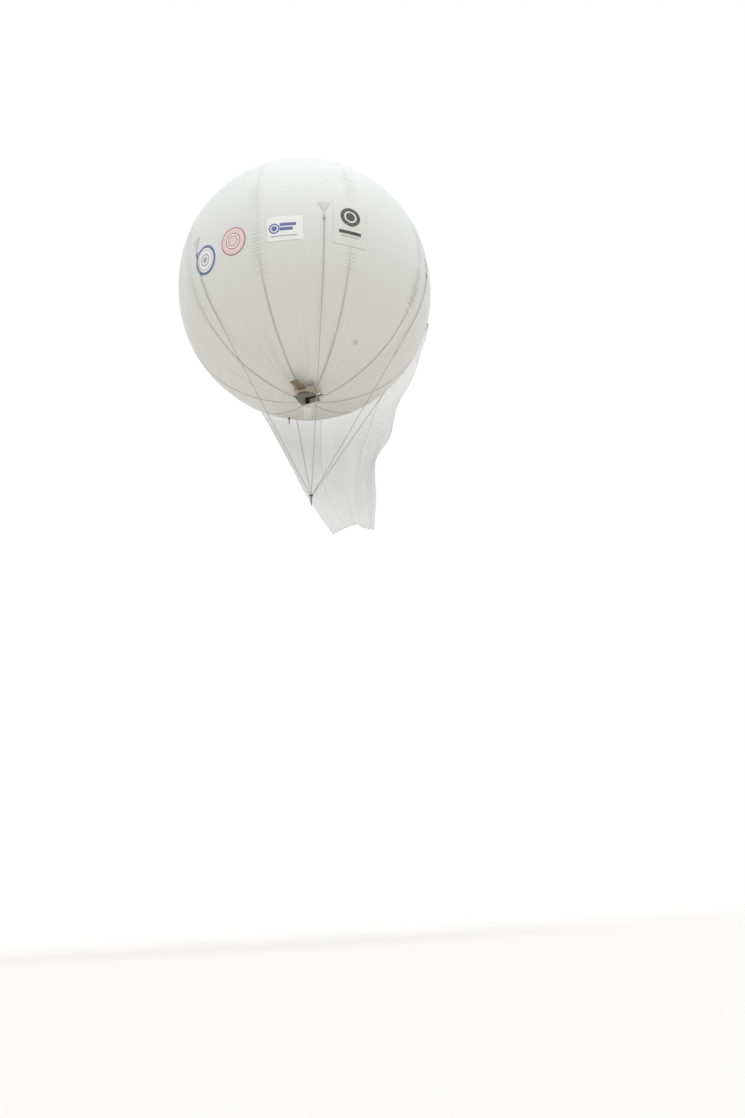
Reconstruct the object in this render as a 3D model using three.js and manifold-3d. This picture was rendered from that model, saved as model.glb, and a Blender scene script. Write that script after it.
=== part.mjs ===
// Tethered aerostat: a round helium envelope with load tapes, a bridle, a rear skirt and a small payload.
// Millimetres, +Z up. The origin is the centre of the round envelope, where its lift acts.
// Azimuths are degrees from the front (-Y) towards +X. Latitudes are degrees above the envelope's equator.
import * as THREE from "three";
import { mergeVertices } from "three/addons/utils/BufferGeometryUtils.js";
import Module from "manifold-3d";

const wasm = await Module();
wasm.setup();

// Driving dimensions of the envelope
const ENVELOPE_RADIUS = 2000;
const FABRIC = 10;
const GORES = 9;
const GORE_ANGLE = 360 / GORES;
const FACES_PER_GORE = 4;
const LATITUDE_STEP = 11;
const LAST_LATITUDE = 88;
const POLE_TRIM_RADIUS = 60;
const GAP = 0.3;

// Tapes and patches, as heights above the envelope's faces
const TAPE_WIDTH = 30;
const TAPE_LAYER = { low: 0.35, high: 2.85 };
const CAP_LAYER = { low: 3.2, high: 6 };
const CROWN_PATCH_RADIUS = 400;
const BASE_PATCH_RADIUS = 560;
const LOAD_PATCH = { width: 180, height: 150, tip: 24, crown: 30, low: 0.35, high: 3.35 };

// Bridle: lines from rings on the envelope's equator to one plate below it
const ROPE_RADIUS = 5;
const ROPE_STANDOFF = 14;
const ROPE_STEPS = 26;
const RING = { latitude: -7.9, radius: 18, wire: 3.5 };
const TONGUE = { width: 16, length: 12, reach: 134, neck: 10, thickness: 5, sink: 20 };
const BRIDLE = [
  { name: "front", azimuth: 8.2 },
  { name: "right", azimuth: 68.2 },
  { name: "rear_right", azimuth: 128.2 },
  { name: "rear", azimuth: 188.2 },
  { name: "left", azimuth: -51.8 },
];
const PLATE = { z: -3585, radius: 30, thickness: 10, ropeCircle: 19 };
const SWIVEL = { headRadius: 17, headHeight: 42, shankRadius: 14, shankHeight: 34 };
const TANG = { width: 22, thickness: 12, length: 40, eyeRadius: 5.4, eyeDrop: 24 };
const SHACKLE = { width: 46, wire: 5, drop: 52, pinOverhang: 4, steps: 18 };

// Skirt: the hem runs round the back of the envelope, from the rear left to the right side
const SKIRT_THICKNESS = 4;
const HEM = { first: -150, sweep: -113, latitude: -8, rightDrop: 4, height: 30, billow: 24, gap: 1.3 };
const HEM_TABS = [-153, -176, -195, -212, -226, -245, -262];
const TAB = { width: 40, height: 64, sink: 12 };
const SKIRT_COLUMNS = 24;
const SKIRT_ROWS = 14;
const SKIRT_SEAM_SHARE = 0.00004;
const SKIRT_PANELS = ["left", "centre", "right"];
// Each rib of the skirt goes down from the hem through points [x, y, z], at a share of the skirt's width
const RIBS = [
  {
    at: 0,
    points: [
      [-847, 1467, -1143],
      [-630, 1091, -1800],
      [-432, 748, -2400],
      [-235, 406, -3000],
      [-45, 90, -3580],
      [310, 600, -3940],
    ],
  },
  {
    at: 0.25,
    points: [
      [-55, 1710, -1150],
      [-30, 1450, -1800],
      [20, 1120, -2400],
      [80, 760, -3000],
      [200, 560, -3450],
      [460, 760, -3800],
    ],
  },
  {
    at: 0.5,
    points: [
      [760, 1540, -1130],
      [620, 1420, -1750],
      [500, 1250, -2350],
      [470, 1080, -2900],
      [540, 930, -3350],
      [620, 830, -3700],
    ],
  },
  {
    at: 0.75,
    points: [
      [1420, 1020, -1110],
      [1180, 1170, -1650],
      [980, 1180, -2200],
      [830, 1100, -2800],
      [790, 1000, -3300],
      [800, 900, -3710],
    ],
  },
  {
    at: 1,
    points: [
      [1720, 620, -1140],
      [1430, 850, -1610],
      [1300, 960, -2080],
      [1060, 970, -2500],
      [1020, 950, -3200],
      [960, 950, -3740],
    ],
  },
];

// Payload under the envelope's lower pole. In its own frame x runs along its long side, z up from the box.
const PAYLOAD = { x: -17, y: -288, top: -2030, length: 312, width: 280, height: 98, turn: -25 };
const TRAY = { thickness: 4, lip: 8 };
const STRAP = { width: 26, thickness: 5, inset: 14, reach: 200 };
const BOARD = { length: 312, width: 126, slats: 2, slatGap: 5, thickness: 9, x: -14, stagger: 16, droop: 6 };
const BATTEN = { width: 18, thickness: 5, inset: 40, lap: 0.5 };
const CAMERA = { x: 6, y: -10, baseRadius: 28, baseHeight: 12, drop: 50 };
const YOKE = { arm: 6, armWidth: 20, armTail: 8, bridgeWidth: 26, armGap: 2 };
const HEAD = { radius: 28, trunnion: 6.5, lensRadius: 13, lensFront: 11.5, lensLength: 12 };
const AERIAL = { radius: 8, length: 212, x: 50, y: -20, drop: 11 };
const AERIAL_FOOT = { length: 30, width: 24, x: 66 };
const RADIO = { length: 40, width: 56, height: 36, y: 10, below: 46 };
const FILL = { azimuth: -157, latitude: -66, radius: 16, height: 26, root: 50 };
const SLEEVE = { radius: 9, taper: 0.8, length: 90 };

const parts = new THREE.Group();

// Finishes
function finish(colour, roughness, metalness = 0) {
  return new THREE.MeshStandardMaterial({ color: colour, roughness, metalness });
}

const FINISH = {
  envelope: () => finish(0xe6e4da, 0.55),
  tape: () => finish(0xb9b6a6, 0.7),
  patch: () => finish(0xdedccf, 0.6),
  rope: () => finish(0x9d9c92, 0.8),
  steel: () => finish(0x4a4a48, 0.35, 0.9),
  skirt: () => finish(0xe3e6e2, 0.6),
  tray: () => finish(0xb9b5a4, 0.5, 0.2),
  box: () => finish(0x8d8f80, 0.6),
  board: () => finish(0x7d6a52, 0.75),
  black: () => finish(0x17181a, 0.4),
  white: () => finish(0xe9e9e4, 0.4),
};

// Geometry helpers
function radians(degrees) {
  return (degrees * Math.PI) / 180;
}

function degrees(angle) {
  return (angle * 180) / Math.PI;
}

function onSphere(azimuth, latitude, radius) {
  const a = radians(azimuth);
  const l = radians(latitude);
  return new THREE.Vector3(
    radius * Math.sin(a) * Math.cos(l),
    -radius * Math.cos(a) * Math.cos(l),
    radius * Math.sin(l),
  );
}

function solid(geometry) {
  const bare = geometry.index ? geometry.toNonIndexed() : geometry.clone();
  bare.deleteAttribute("normal");
  bare.deleteAttribute("uv");
  const merged = mergeVertices(bare, 1e-3);
  return new wasm.Manifold(
    new wasm.Mesh({
      numProp: 3,
      vertProperties: merged.attributes.position.array,
      triVerts: new Uint32Array(merged.index.array),
    }),
  );
}

function geometryOf(manifold) {
  const mesh = manifold.getMesh();
  const geometry = new THREE.BufferGeometry();
  geometry.setAttribute("position", new THREE.BufferAttribute(mesh.vertProperties, 3));
  geometry.setIndex(new THREE.BufferAttribute(mesh.triVerts, 1));
  geometry.computeVertexNormals();
  return geometry;
}

function add(name, shape, material, parent = parts) {
  const geometry = shape.isBufferGeometry ? shape : geometryOf(shape);
  const mesh = new THREE.Mesh(geometry, material());
  mesh.name = name;
  parent.add(mesh);
}

function union(shapes) {
  return shapes.map(solid).reduce((whole, shape) => whole.add(shape));
}

function box(x, y, z, at = [0, 0, 0]) {
  return new THREE.BoxGeometry(x, y, z).translate(...at);
}

// A cylinder that stands along Z, from its foot at z up to z + height
function upright(radius, height, at, sides = 24, topRadius = radius) {
  const cylinder = new THREE.CylinderGeometry(topRadius, radius, height, sides);
  return cylinder.rotateX(Math.PI / 2).translate(at[0], at[1], at[2] + height / 2);
}

// The closed faceted ball whose faces lie a given height above the envelope's own faces
function ball(height) {
  const radius = ENVELOPE_RADIUS;
  const pole = radius * Math.sin(radians(LAST_LATITUDE));
  const profile = [new THREE.Vector2(0, -pole)];
  for (let latitude = -LAST_LATITUDE; latitude <= LAST_LATITUDE; latitude += LATITUDE_STEP) {
    const l = radians(latitude);
    profile.push(new THREE.Vector2(radius * Math.cos(l), radius * Math.sin(l)));
  }
  profile.push(new THREE.Vector2(0, pole));
  const lathe = new THREE.LatheGeometry(profile, GORES * FACES_PER_GORE);
  const scale = 1 + height / ENVELOPE_RADIUS;
  return solid(lathe.rotateX(Math.PI / 2).scale(scale, scale, scale));
}

function layer(low, high) {
  return ball(high).subtract(ball(low));
}

// An upright wedge between two azimuths, its sides set back from both seams
function wedge(from, to, setback) {
  const reach = ENVELOPE_RADIUS * 2;
  const apex = setback / Math.sin(radians((to - from) / 2));
  const point = (azimuth, radius) => {
    const a = radians(azimuth);
    return new THREE.Vector2(radius * Math.sin(a), -radius * Math.cos(a));
  };
  const tip = point((from + to) / 2, apex);
  const shape = new THREE.Shape([tip, point(from, reach).add(tip), point(to, reach).add(tip)]);
  const prism = new THREE.ExtrudeGeometry(shape, { depth: 2 * reach, bevelEnabled: false });
  return solid(prism.translate(0, 0, -reach));
}

function poleCutter() {
  const height = ENVELOPE_RADIUS * 3;
  return solid(upright(POLE_TRIM_RADIUS, height, [0, 0, -height / 2]));
}

// Places a shape drawn flat (x across, y up the meridian, z outwards) on the envelope
function onEnvelope(geometry, azimuth, latitude, radius) {
  const out = onSphere(azimuth, latitude, 1);
  const across = onSphere(azimuth + 90, 0, 1);
  const up = new THREE.Vector3().crossVectors(out, across);
  const place = new THREE.Matrix4().makeBasis(across, up, out);
  place.setPosition(out.clone().multiplyScalar(radius));
  return geometry.applyMatrix4(place);
}

// A rope along a curve, with flat ends. A full arc is drawn with two sides for each curve segment.
function rope(curve, radius, steps, sides = 6) {
  const section = new THREE.Shape();
  section.absarc(0, 0, radius, 0, Math.PI * 2, false);
  return new THREE.ExtrudeGeometry(section, { steps, extrudePath: curve, curveSegments: sides / 2 });
}

// Envelope
function makeGores() {
  const shell = layer(-FABRIC, 0).subtract(poleCutter());
  for (let i = 0; i < GORES; i++) {
    const middle = i * GORE_ANGLE;
    const side = wedge(middle - GORE_ANGLE / 2, middle + GORE_ANGLE / 2, GAP / 2);
    add("gore_" + (i + 1), shell.intersect(side), FINISH.envelope);
  }
}

// A load tape covers each seam between two gores
function makeLoadTapes() {
  const skin = layer(TAPE_LAYER.low, TAPE_LAYER.high).subtract(poleCutter());
  const reach = ENVELOPE_RADIUS * 1.1;
  for (let i = 0; i < GORES; i++) {
    const strip = box(TAPE_WIDTH, reach, 2 * reach, [0, -reach / 2, 0]);
    strip.rotateZ(radians((i + 0.5) * GORE_ANGLE));
    add("load_tape_" + (i + 1), skin.intersect(solid(strip)), FINISH.tape);
  }
}

function makePolePatches() {
  const skin = layer(CAP_LAYER.low, CAP_LAYER.high);
  const reach = ENVELOPE_RADIUS * 1.1;
  const top = solid(upright(CROWN_PATCH_RADIUS, reach, [0, 0, 0], 36));
  const bottom = solid(upright(BASE_PATCH_RADIUS, reach, [0, 0, -reach], 36));
  add("crown_patch", skin.intersect(top), FINISH.patch);
  add("base_patch", skin.intersect(bottom), FINISH.patch);
}

// Load patches: a fan of fabric below the equator, its point down
function makeLoadPatches() {
  const { width, height, tip, crown, low, high } = LOAD_PATCH;
  const depth = ENVELOPE_RADIUS / 5;
  const skin = layer(low, high);
  const fan = new THREE.Shape();
  fan.moveTo(-width / 2, 0);
  fan.lineTo(-tip / 2, -height);
  fan.lineTo(tip / 2, -height);
  fan.lineTo(width / 2, 0);
  fan.quadraticCurveTo(0, crown, -width / 2, 0);
  for (const { name, azimuth } of BRIDLE) {
    const prism = new THREE.ExtrudeGeometry(fan, { depth, bevelEnabled: false, curveSegments: 6 });
    const placed = onEnvelope(prism, azimuth, 0, ENVELOPE_RADIUS - depth / 2);
    add("load_patch_" + name, skin.intersect(solid(placed)), FINISH.patch);
  }
}

// A ring stands off the point of each load patch, on a tongue that is seated on the patch
function makeBridleRings() {
  const clear = ball(LOAD_PATCH.high + GAP);
  const { width, length, reach, neck, thickness, sink } = TONGUE;
  const footHeight = RING.wire + ROPE_STANDOFF + sink;
  const neckLength = reach - RING.radius;
  for (const { name, azimuth } of BRIDLE) {
    const shapes = [
      new THREE.TorusGeometry(RING.radius, RING.wire, 5, 16),
      box(width, length, footHeight, [0, reach, RING.wire - footHeight / 2]),
      box(neck, neckLength, thickness, [0, RING.radius + neckLength / 2, 0]),
    ];
    const height = ENVELOPE_RADIUS + ROPE_STANDOFF;
    const ring = union(shapes.map((shape) => onEnvelope(shape, azimuth, RING.latitude, height)));
    add("bridle_ring_" + name, ring.subtract(clear), FINISH.steel);
  }
}

// A bridle line leaves its ring, lies on the envelope to the tangent point, then goes straight to the plate
class BridleCurve extends THREE.Curve {
  constructor(azimuth) {
    super();
    this.azimuth = azimuth;
    this.radius = ENVELOPE_RADIUS + ROPE_STANDOFF;
    const plateTop = PLATE.z + PLATE.thickness / 2;
    const target = new THREE.Vector2(PLATE.ropeCircle, plateTop);
    const bearing = Math.atan2(target.y, target.x);
    this.tangent = degrees(bearing + Math.acos(this.radius / target.length()));
    const drop = RING.radius + RING.wire + GAP;
    this.start = RING.latitude - degrees(drop / this.radius);
    this.leave = onSphere(azimuth, this.tangent, this.radius);
    const meet = onSphere(azimuth, 0, PLATE.ropeCircle).setZ(plateTop);
    const along = meet.clone().sub(this.leave).normalize();
    const lift = (ROPE_RADIUS * Math.hypot(along.x, along.y) + GAP) / Math.abs(along.z);
    this.end = meet.addScaledVector(along, -lift);
    this.arcLength = this.radius * radians(this.start - this.tangent);
    this.total = this.arcLength + this.leave.distanceTo(this.end);
  }

  getPoint(t, target = new THREE.Vector3()) {
    const travelled = t * this.total;
    if (travelled <= this.arcLength) {
      const latitude = this.start - degrees(travelled / this.radius);
      return target.copy(onSphere(this.azimuth, latitude, this.radius));
    }
    const share = (travelled - this.arcLength) / (this.total - this.arcLength);
    return target.lerpVectors(this.leave, this.end, share);
  }
}

function makeBridleLines() {
  for (const { name, azimuth } of BRIDLE) {
    const line = solid(rope(new BridleCurve(azimuth), ROPE_RADIUS, ROPE_STEPS));
    add("bridle_line_" + name, line, FINISH.rope);
  }
}

// The plate where the lines meet, and the swivel and shackle under it
function makeConfluence() {
  const under = PLATE.z - PLATE.thickness / 2;
  add("bridle_plate", solid(upright(PLATE.radius, PLATE.thickness, [0, 0, under], 30)), FINISH.steel);
  const { headRadius, headHeight, shankRadius, shankHeight } = SWIVEL;
  const headFoot = under - GAP - headHeight;
  add("swivel_head", solid(upright(headRadius, headHeight, [0, 0, headFoot], 20)), FINISH.steel);
  const shankFoot = headFoot - GAP - shankHeight;
  const { width, thickness, length, eyeRadius, eyeDrop } = TANG;
  const barrel = upright(shankRadius, shankHeight, [0, 0, shankFoot], 20);
  const tang = box(width, thickness, length, [0, 0, shankFoot - length / 2]);
  const eyeZ = shankFoot - eyeDrop;
  const eye = new THREE.CylinderGeometry(eyeRadius, eyeRadius, 2 * width, 16).translate(0, 0, eyeZ);
  add("swivel_shank", union([barrel, tang]).subtract(solid(eye)), FINISH.steel);
  makeShackle(eyeZ);
}

// A bow shackle: its pin goes through the swivel's eye and its bow hangs below
function makeShackle(eyeZ) {
  const { width, wire, drop, pinOverhang, steps } = SHACKLE;
  const half = width / 2;
  const pin = new THREE.CylinderGeometry(wire, wire, width + 2 * pinOverhang, 12);
  const top = (side) => new THREE.Vector3(0, side * half, eyeZ);
  const low = (side) => new THREE.Vector3(0, side * half, eyeZ - drop + half);
  const under = (side) => new THREE.Vector3(0, side * half, eyeZ - drop - wire);
  const bow = new THREE.CurvePath();
  bow.add(new THREE.LineCurve3(top(-1), low(-1)));
  bow.add(new THREE.CubicBezierCurve3(low(-1), under(-1), under(1), low(1)));
  bow.add(new THREE.LineCurve3(low(1), top(1)));
  add("tether_shackle", union([pin.translate(0, 0, eyeZ), rope(bow, wire, steps)]), FINISH.steel);
}

// Skirt
function hemLatitude(share) {
  return HEM.latitude - HEM.rightDrop * share ** 2;
}

// A point on the hem, or a given distance down the envelope from it
function hemPoint(share, below = 0) {
  const radius = ENVELOPE_RADIUS + HEM.height;
  return onSphere(HEM.first + HEM.sweep * share, hemLatitude(share) - degrees(below / radius), radius);
}

class HemCurve extends THREE.Curve {
  getPoint(t, target = new THREE.Vector3()) {
    return target.copy(hemPoint(t));
  }
}

// The hem line, with tabs that hold it to the envelope
function makeHemLine() {
  const line = rope(new HemCurve(), ROPE_RADIUS, 2 * SKIRT_COLUMNS);
  const tabs = HEM_TABS.map((azimuth) => {
    const latitude = hemLatitude((azimuth - HEM.first) / HEM.sweep);
    const depth = HEM.height + TAB.sink;
    const shape = box(TAB.width, TAB.height, depth, [0, TAB.height / 2 - ROPE_RADIUS, -depth / 2]);
    return onEnvelope(shape, azimuth, latitude, ENVELOPE_RADIUS + HEM.height);
  });
  add("skirt_hem_line", union([line, ...tabs]).subtract(ball(TAPE_LAYER.low)), FINISH.rope);
}

function skirtTop(share) {
  return hemPoint(share, ROPE_RADIUS + HEM.gap);
}

function ribCurve(rib) {
  const points = [skirtTop(rib.at), ...rib.points.map((p) => new THREE.Vector3(...p))];
  return new THREE.CatmullRomCurve3(points, false, "centripetal");
}

const ribCurves = RIBS.map(ribCurve);

// A smooth curve through the ribs' points at one share of their length, read at one share of the width
function acrossRibs(across, down) {
  const stations = ribCurves.map((curve) => curve.getPointAt(down));
  const last = RIBS.length - 1;
  let i = 0;
  while (i < last - 1 && across > RIBS[i + 1].at) i++;
  const span = RIBS[i + 1].at - RIBS[i].at;
  const t = (across - RIBS[i].at) / span;
  const slope = (low, high) => {
    const rise = stations[high].clone().sub(stations[low]);
    return rise.multiplyScalar(span / (RIBS[high].at - RIBS[low].at));
  };
  const leaving = slope(Math.max(i - 1, 0), i + 1);
  const arriving = slope(i, Math.min(i + 2, last));
  const point = stations[i].clone().multiplyScalar(2 * t ** 3 - 3 * t ** 2 + 1);
  point.addScaledVector(leaving, t ** 3 - 2 * t ** 2 + t);
  point.addScaledVector(stations[i + 1], 3 * t ** 2 - 2 * t ** 3);
  return point.addScaledVector(arriving, t ** 3 - t ** 2);
}

// A point of the skirt's middle surface: across from the left edge to the right, down from the hem.
// Its top edge follows the hem, and below that it is kept clear of the envelope and the lines on it.
function skirtPoint(across, down) {
  const miss = skirtTop(across).sub(acrossRibs(across, 0));
  const point = acrossRibs(across, down).addScaledVector(miss, (1 - down) ** 4);
  const least = ENVELOPE_RADIUS + HEM.height + HEM.billow * Math.min(1, down * SKIRT_ROWS);
  return point.length() < least ? point.setLength(least) : point;
}

function skirtNormal(across, down) {
  const step = 1e-3;
  const right = skirtPoint(Math.min(across + step, 1), down);
  const left = skirtPoint(Math.max(across - step, 0), down);
  const lower = skirtPoint(across, Math.min(down + step, 1));
  const upper = skirtPoint(across, Math.max(down - step, 0));
  return lower.sub(upper).cross(right.sub(left)).normalize();
}

// A sheet between two shares of the skirt's width, thickened along its own normals
function sheet(from, to, columns, rows, thickness) {
  const positions = [];
  for (const side of [-0.5, 0.5]) {
    for (let i = 0; i <= columns; i++) {
      for (let j = 0; j <= rows; j++) {
        const across = from + ((to - from) * i) / columns;
        const normal = skirtNormal(across, j / rows);
        positions.push(...skirtPoint(across, j / rows).addScaledVector(normal, side * thickness));
      }
    }
  }
  const corner = (side, i, j) => side * (columns + 1) * (rows + 1) + i * (rows + 1) + j;
  const faces = [];
  const quad = (a, b, c, d) => faces.push(a, b, c, a, c, d);
  for (let i = 0; i < columns; i++) {
    for (let j = 0; j < rows; j++) {
      quad(corner(1, i, j), corner(1, i, j + 1), corner(1, i + 1, j + 1), corner(1, i + 1, j));
      quad(corner(0, i, j), corner(0, i + 1, j), corner(0, i + 1, j + 1), corner(0, i, j + 1));
    }
    quad(corner(0, i, 0), corner(1, i, 0), corner(1, i + 1, 0), corner(0, i + 1, 0));
    quad(corner(0, i, rows), corner(0, i + 1, rows), corner(1, i + 1, rows), corner(1, i, rows));
  }
  const n = columns;
  for (let j = 0; j < rows; j++) {
    quad(corner(0, 0, j), corner(0, 0, j + 1), corner(1, 0, j + 1), corner(1, 0, j));
    quad(corner(0, n, j), corner(1, n, j), corner(1, n, j + 1), corner(0, n, j + 1));
  }
  const geometry = new THREE.BufferGeometry();
  geometry.setAttribute("position", new THREE.Float32BufferAttribute(positions, 3));
  geometry.setIndex(faces);
  geometry.computeVertexNormals();
  return geometry;
}

function makeSkirt() {
  const count = SKIRT_PANELS.length;
  SKIRT_PANELS.forEach((name, i) => {
    const from = i === 0 ? 0 : i / count + SKIRT_SEAM_SHARE;
    const to = i === count - 1 ? 1 : (i + 1) / count - SKIRT_SEAM_SHARE;
    const panel = sheet(from, to, SKIRT_COLUMNS / count, SKIRT_ROWS, SKIRT_THICKNESS);
    add("skirt_panel_" + name, panel, FINISH.skirt);
  });
}

// Payload: a tray hung by four straps from the base patch, with a box, a board, a camera and a rod aerial
function payloadGroup() {
  const group = new THREE.Group();
  group.position.set(PAYLOAD.x, PAYLOAD.y, PAYLOAD.top);
  group.rotation.z = radians(PAYLOAD.turn);
  parts.add(group);
  group.updateMatrixWorld(true);
  return group;
}

// The straps reach up through the envelope here, and all that isn't below it is cut away
function makeTray(group) {
  const { length, width } = PAYLOAD;
  const { thickness, lip } = TRAY;
  const shapes = [box(length + 2 * lip, width + 2 * lip, thickness, [0, 0, thickness / 2 + GAP])];
  for (const sx of [-1, 1]) {
    for (const sy of [-1, 1]) {
      const x = sx * (length / 2 - STRAP.inset);
      const y = sy * (width / 2 - STRAP.inset);
      shapes.push(box(STRAP.width, STRAP.thickness, STRAP.reach, [x, y, STRAP.reach / 2]));
    }
  }
  const toGroup = group.matrixWorld.clone().invert();
  const clear = solid(geometryOf(ball(CAP_LAYER.high + GAP)).applyMatrix4(toGroup));
  const pieces = union(shapes).subtract(clear).decompose();
  const tray = pieces.sort((a, b) => b.volume() - a.volume())[0];
  add("payload_tray", tray, FINISH.tray, group);
}

function makePayloadBox(group) {
  const { length, width, height } = PAYLOAD;
  add("payload_box", box(length, width, height, [0, 0, -height / 2]), FINISH.box, group);
}

// Slats under the tray's lip, held together by two battens. The board droops from its root at the box,
// and each slat is shorter than the one to its right.
function makeBoard(group) {
  const { length, width, slats, slatGap, thickness, x, stagger, droop } = BOARD;
  const slatWidth = (width - (slats - 1) * slatGap) / slats;
  const shapes = [];
  for (let i = 0; i < slats; i++) {
    const slatX = (i - (slats - 1) / 2) * (slatWidth + slatGap);
    const slatLength = length - (slats - 1 - i) * stagger;
    shapes.push(box(slatWidth, slatLength, thickness, [slatX, -slatLength / 2, -thickness / 2]));
  }
  for (const y of [-BATTEN.inset, BATTEN.inset - length]) {
    shapes.push(box(width, BATTEN.width, BATTEN.thickness, [0, y, BATTEN.thickness / 2 - BATTEN.lap]));
  }
  // Turning it about its lower edge at the box keeps it clear of the box's side
  const back = -PAYLOAD.width / 2 - GAP;
  const root = new THREE.Matrix4().makeTranslation(0, 0, thickness);
  const place = new THREE.Matrix4().makeTranslation(x, back, -thickness);
  place.multiply(new THREE.Matrix4().makeRotationX(radians(droop))).multiply(root);
  add("outrigger_board", union(shapes.map((shape) => shape.applyMatrix4(place))), FINISH.board, group);
}

// A camera on a turret: the yoke turns under the base, and the head tilts on its trunnions between the arms
function makeCamera(group) {
  const { x, y, baseRadius, baseHeight, drop } = CAMERA;
  const under = -PAYLOAD.height - GAP;
  const yokeTop = under - baseHeight - GAP;
  add("camera_base", upright(baseRadius, baseHeight, [x, y, under - baseHeight]), FINISH.black, group);
  const { arm, armWidth, armTail, bridgeWidth, armGap } = YOKE;
  const inner = HEAD.radius + armGap;
  const armLength = drop + armTail;
  const shapes = [box(2 * (inner + arm), bridgeWidth, arm, [x, y, yokeTop - arm / 2])];
  for (const side of [-1, 1]) {
    const at = [x + side * (inner + arm / 2), y, yokeTop - armLength / 2];
    shapes.push(box(arm, armWidth, armLength, at));
  }
  add("camera_yoke", union(shapes), FINISH.black, group);
  const { radius, trunnion, lensRadius, lensFront, lensLength } = HEAD;
  const eyeZ = yokeTop - drop;
  const body = new THREE.SphereGeometry(radius, 16, 10).translate(x, y, eyeZ);
  const lens = new THREE.CylinderGeometry(lensFront, lensRadius, lensLength, 20).rotateX(Math.PI);
  const axle = new THREE.CylinderGeometry(trunnion, trunnion, 2 * (inner - GAP), 12).rotateZ(Math.PI / 2);
  const head = [body, lens.translate(x, y - radius, eyeZ), axle.translate(x, y, eyeZ)];
  add("camera_head", union(head), FINISH.black, group);
}

function makeAerial(group) {
  const under = -PAYLOAD.height - GAP;
  const { radius, length, x, y, drop } = AERIAL;
  const rod = new THREE.CylinderGeometry(radius, radius, length, 12).rotateZ(Math.PI / 2);
  rod.translate(x + length / 2, y, under - drop);
  const footHeight = drop + radius / 2;
  const footAt = [AERIAL_FOOT.x, y, under - footHeight / 2];
  const foot = box(AERIAL_FOOT.length, AERIAL_FOOT.width, footHeight, footAt);
  add("rod_aerial", union([rod, foot]), FINISH.black, group);
}

function makeRadioBox(group) {
  const { length, width, height, y, below } = RADIO;
  const at = [PAYLOAD.length / 2 + GAP + length / 2, y, -below - height / 2];
  add("radio_box", box(length, width, height, at), FINISH.white, group);
}

function makePayload() {
  const group = payloadGroup();
  makeTray(group);
  makePayloadBox(group);
  makeBoard(group);
  makeCamera(group);
  makeAerial(group);
  makeRadioBox(group);
}

// Filling valve: a dark collar on the envelope, and the tied-off fabric sleeve that hangs from it
function makeFilling() {
  const out = onSphere(FILL.azimuth, FILL.latitude, ENVELOPE_RADIUS);
  const foot = out.z - FILL.height;
  const ring = solid(upright(FILL.radius, FILL.height + FILL.root, [out.x, out.y, foot], 20));
  add("fill_collar", ring.subtract(ball(TAPE_LAYER.low)), FINISH.black);
  const top = SLEEVE.radius * SLEEVE.taper;
  const sleeve = upright(SLEEVE.radius, SLEEVE.length, [out.x, out.y, foot - GAP - SLEEVE.length], 16, top);
  add("fill_sleeve", sleeve, FINISH.patch);
}

makeGores();
makeLoadTapes();
makePolePatches();
makeLoadPatches();
makeBridleRings();
makeBridleLines();
makeConfluence();
makeHemLine();
makeSkirt();
makePayload();
makeFilling();

export default parts;
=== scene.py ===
"""Looks of a tethered aerostat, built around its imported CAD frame.

Everything is in metres in the CAD frame: +Z up, the origin at the centre of the round envelope.
Azimuths are degrees from the front (-Y) towards +X, and latitudes are degrees above the equator.
"""

import logging
import math
from collections.abc import Callable, Sequence
from dataclasses import dataclass, field
from enum import Enum

import bmesh
import bpy
import numpy as np
from mathutils import Matrix, Vector


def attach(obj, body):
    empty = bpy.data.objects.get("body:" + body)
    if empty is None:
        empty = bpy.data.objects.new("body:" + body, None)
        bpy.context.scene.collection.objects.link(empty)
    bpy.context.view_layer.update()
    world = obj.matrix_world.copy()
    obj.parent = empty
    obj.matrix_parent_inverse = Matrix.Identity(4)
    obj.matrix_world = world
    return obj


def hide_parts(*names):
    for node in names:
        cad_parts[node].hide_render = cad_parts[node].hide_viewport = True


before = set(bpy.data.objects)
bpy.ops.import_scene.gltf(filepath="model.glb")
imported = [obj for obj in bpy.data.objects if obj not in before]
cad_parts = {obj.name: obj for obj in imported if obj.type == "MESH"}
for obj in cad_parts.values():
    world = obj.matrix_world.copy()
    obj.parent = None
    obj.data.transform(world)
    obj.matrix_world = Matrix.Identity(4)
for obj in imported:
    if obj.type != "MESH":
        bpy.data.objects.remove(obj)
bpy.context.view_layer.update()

LOG = logging.getLogger("aerostat")
UV_NAME = "UVMap"
CREASE_NAME = "Crease"
SHARP_ANGLE = 35.0

Socket = bpy.types.NodeSocket
Thing = bpy.types.Object
Tree = bpy.types.NodeTree
Colour = tuple[float, float, float]
Outline = Sequence[tuple[float, float]]
Path = Sequence[Vector]

HERE = Matrix.Identity(4)
ACROSS = Vector((1, 0, 0))
UP = Vector((0, 0, 1))
DOWN = Vector((0, 0, -1))


class Body(Enum):
    """The CAD bodies that pieces ride on."""

    AEROSTAT = "aerostat"
    SWIVEL = "swivel"
    SHACKLE = "shackle"
    YOKE = "yoke"
    CAMERA = "camera"


class Slot(Enum):
    """The record's material slots."""

    ENVELOPE = "envelope_fabric"
    TAPE = "load_tape"
    PATCH = "patch_fabric"
    SKIRT = "skirt_fabric"
    ROPE = "rope"
    STEEL = "steel"
    TRAY = "tray"
    HOUSING = "payload_housing"
    BOARD = "board"
    BLACK = "black_plastic"
    WHITE = "white_plastic"


class TreeKind(Enum):
    """The two kinds of node group that the script builds."""

    SHADER = "ShaderNodeTree"
    GEOMETRY = "GeometryNodeTree"


class SocketKind(Enum):
    """The kinds of named socket on a group."""

    FLOAT = "NodeSocketFloat"
    INTEGER = "NodeSocketInt"
    VECTOR = "NodeSocketVector"
    GEOMETRY = "NodeSocketGeometry"
    MATERIAL = "NodeSocketMaterial"


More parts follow.
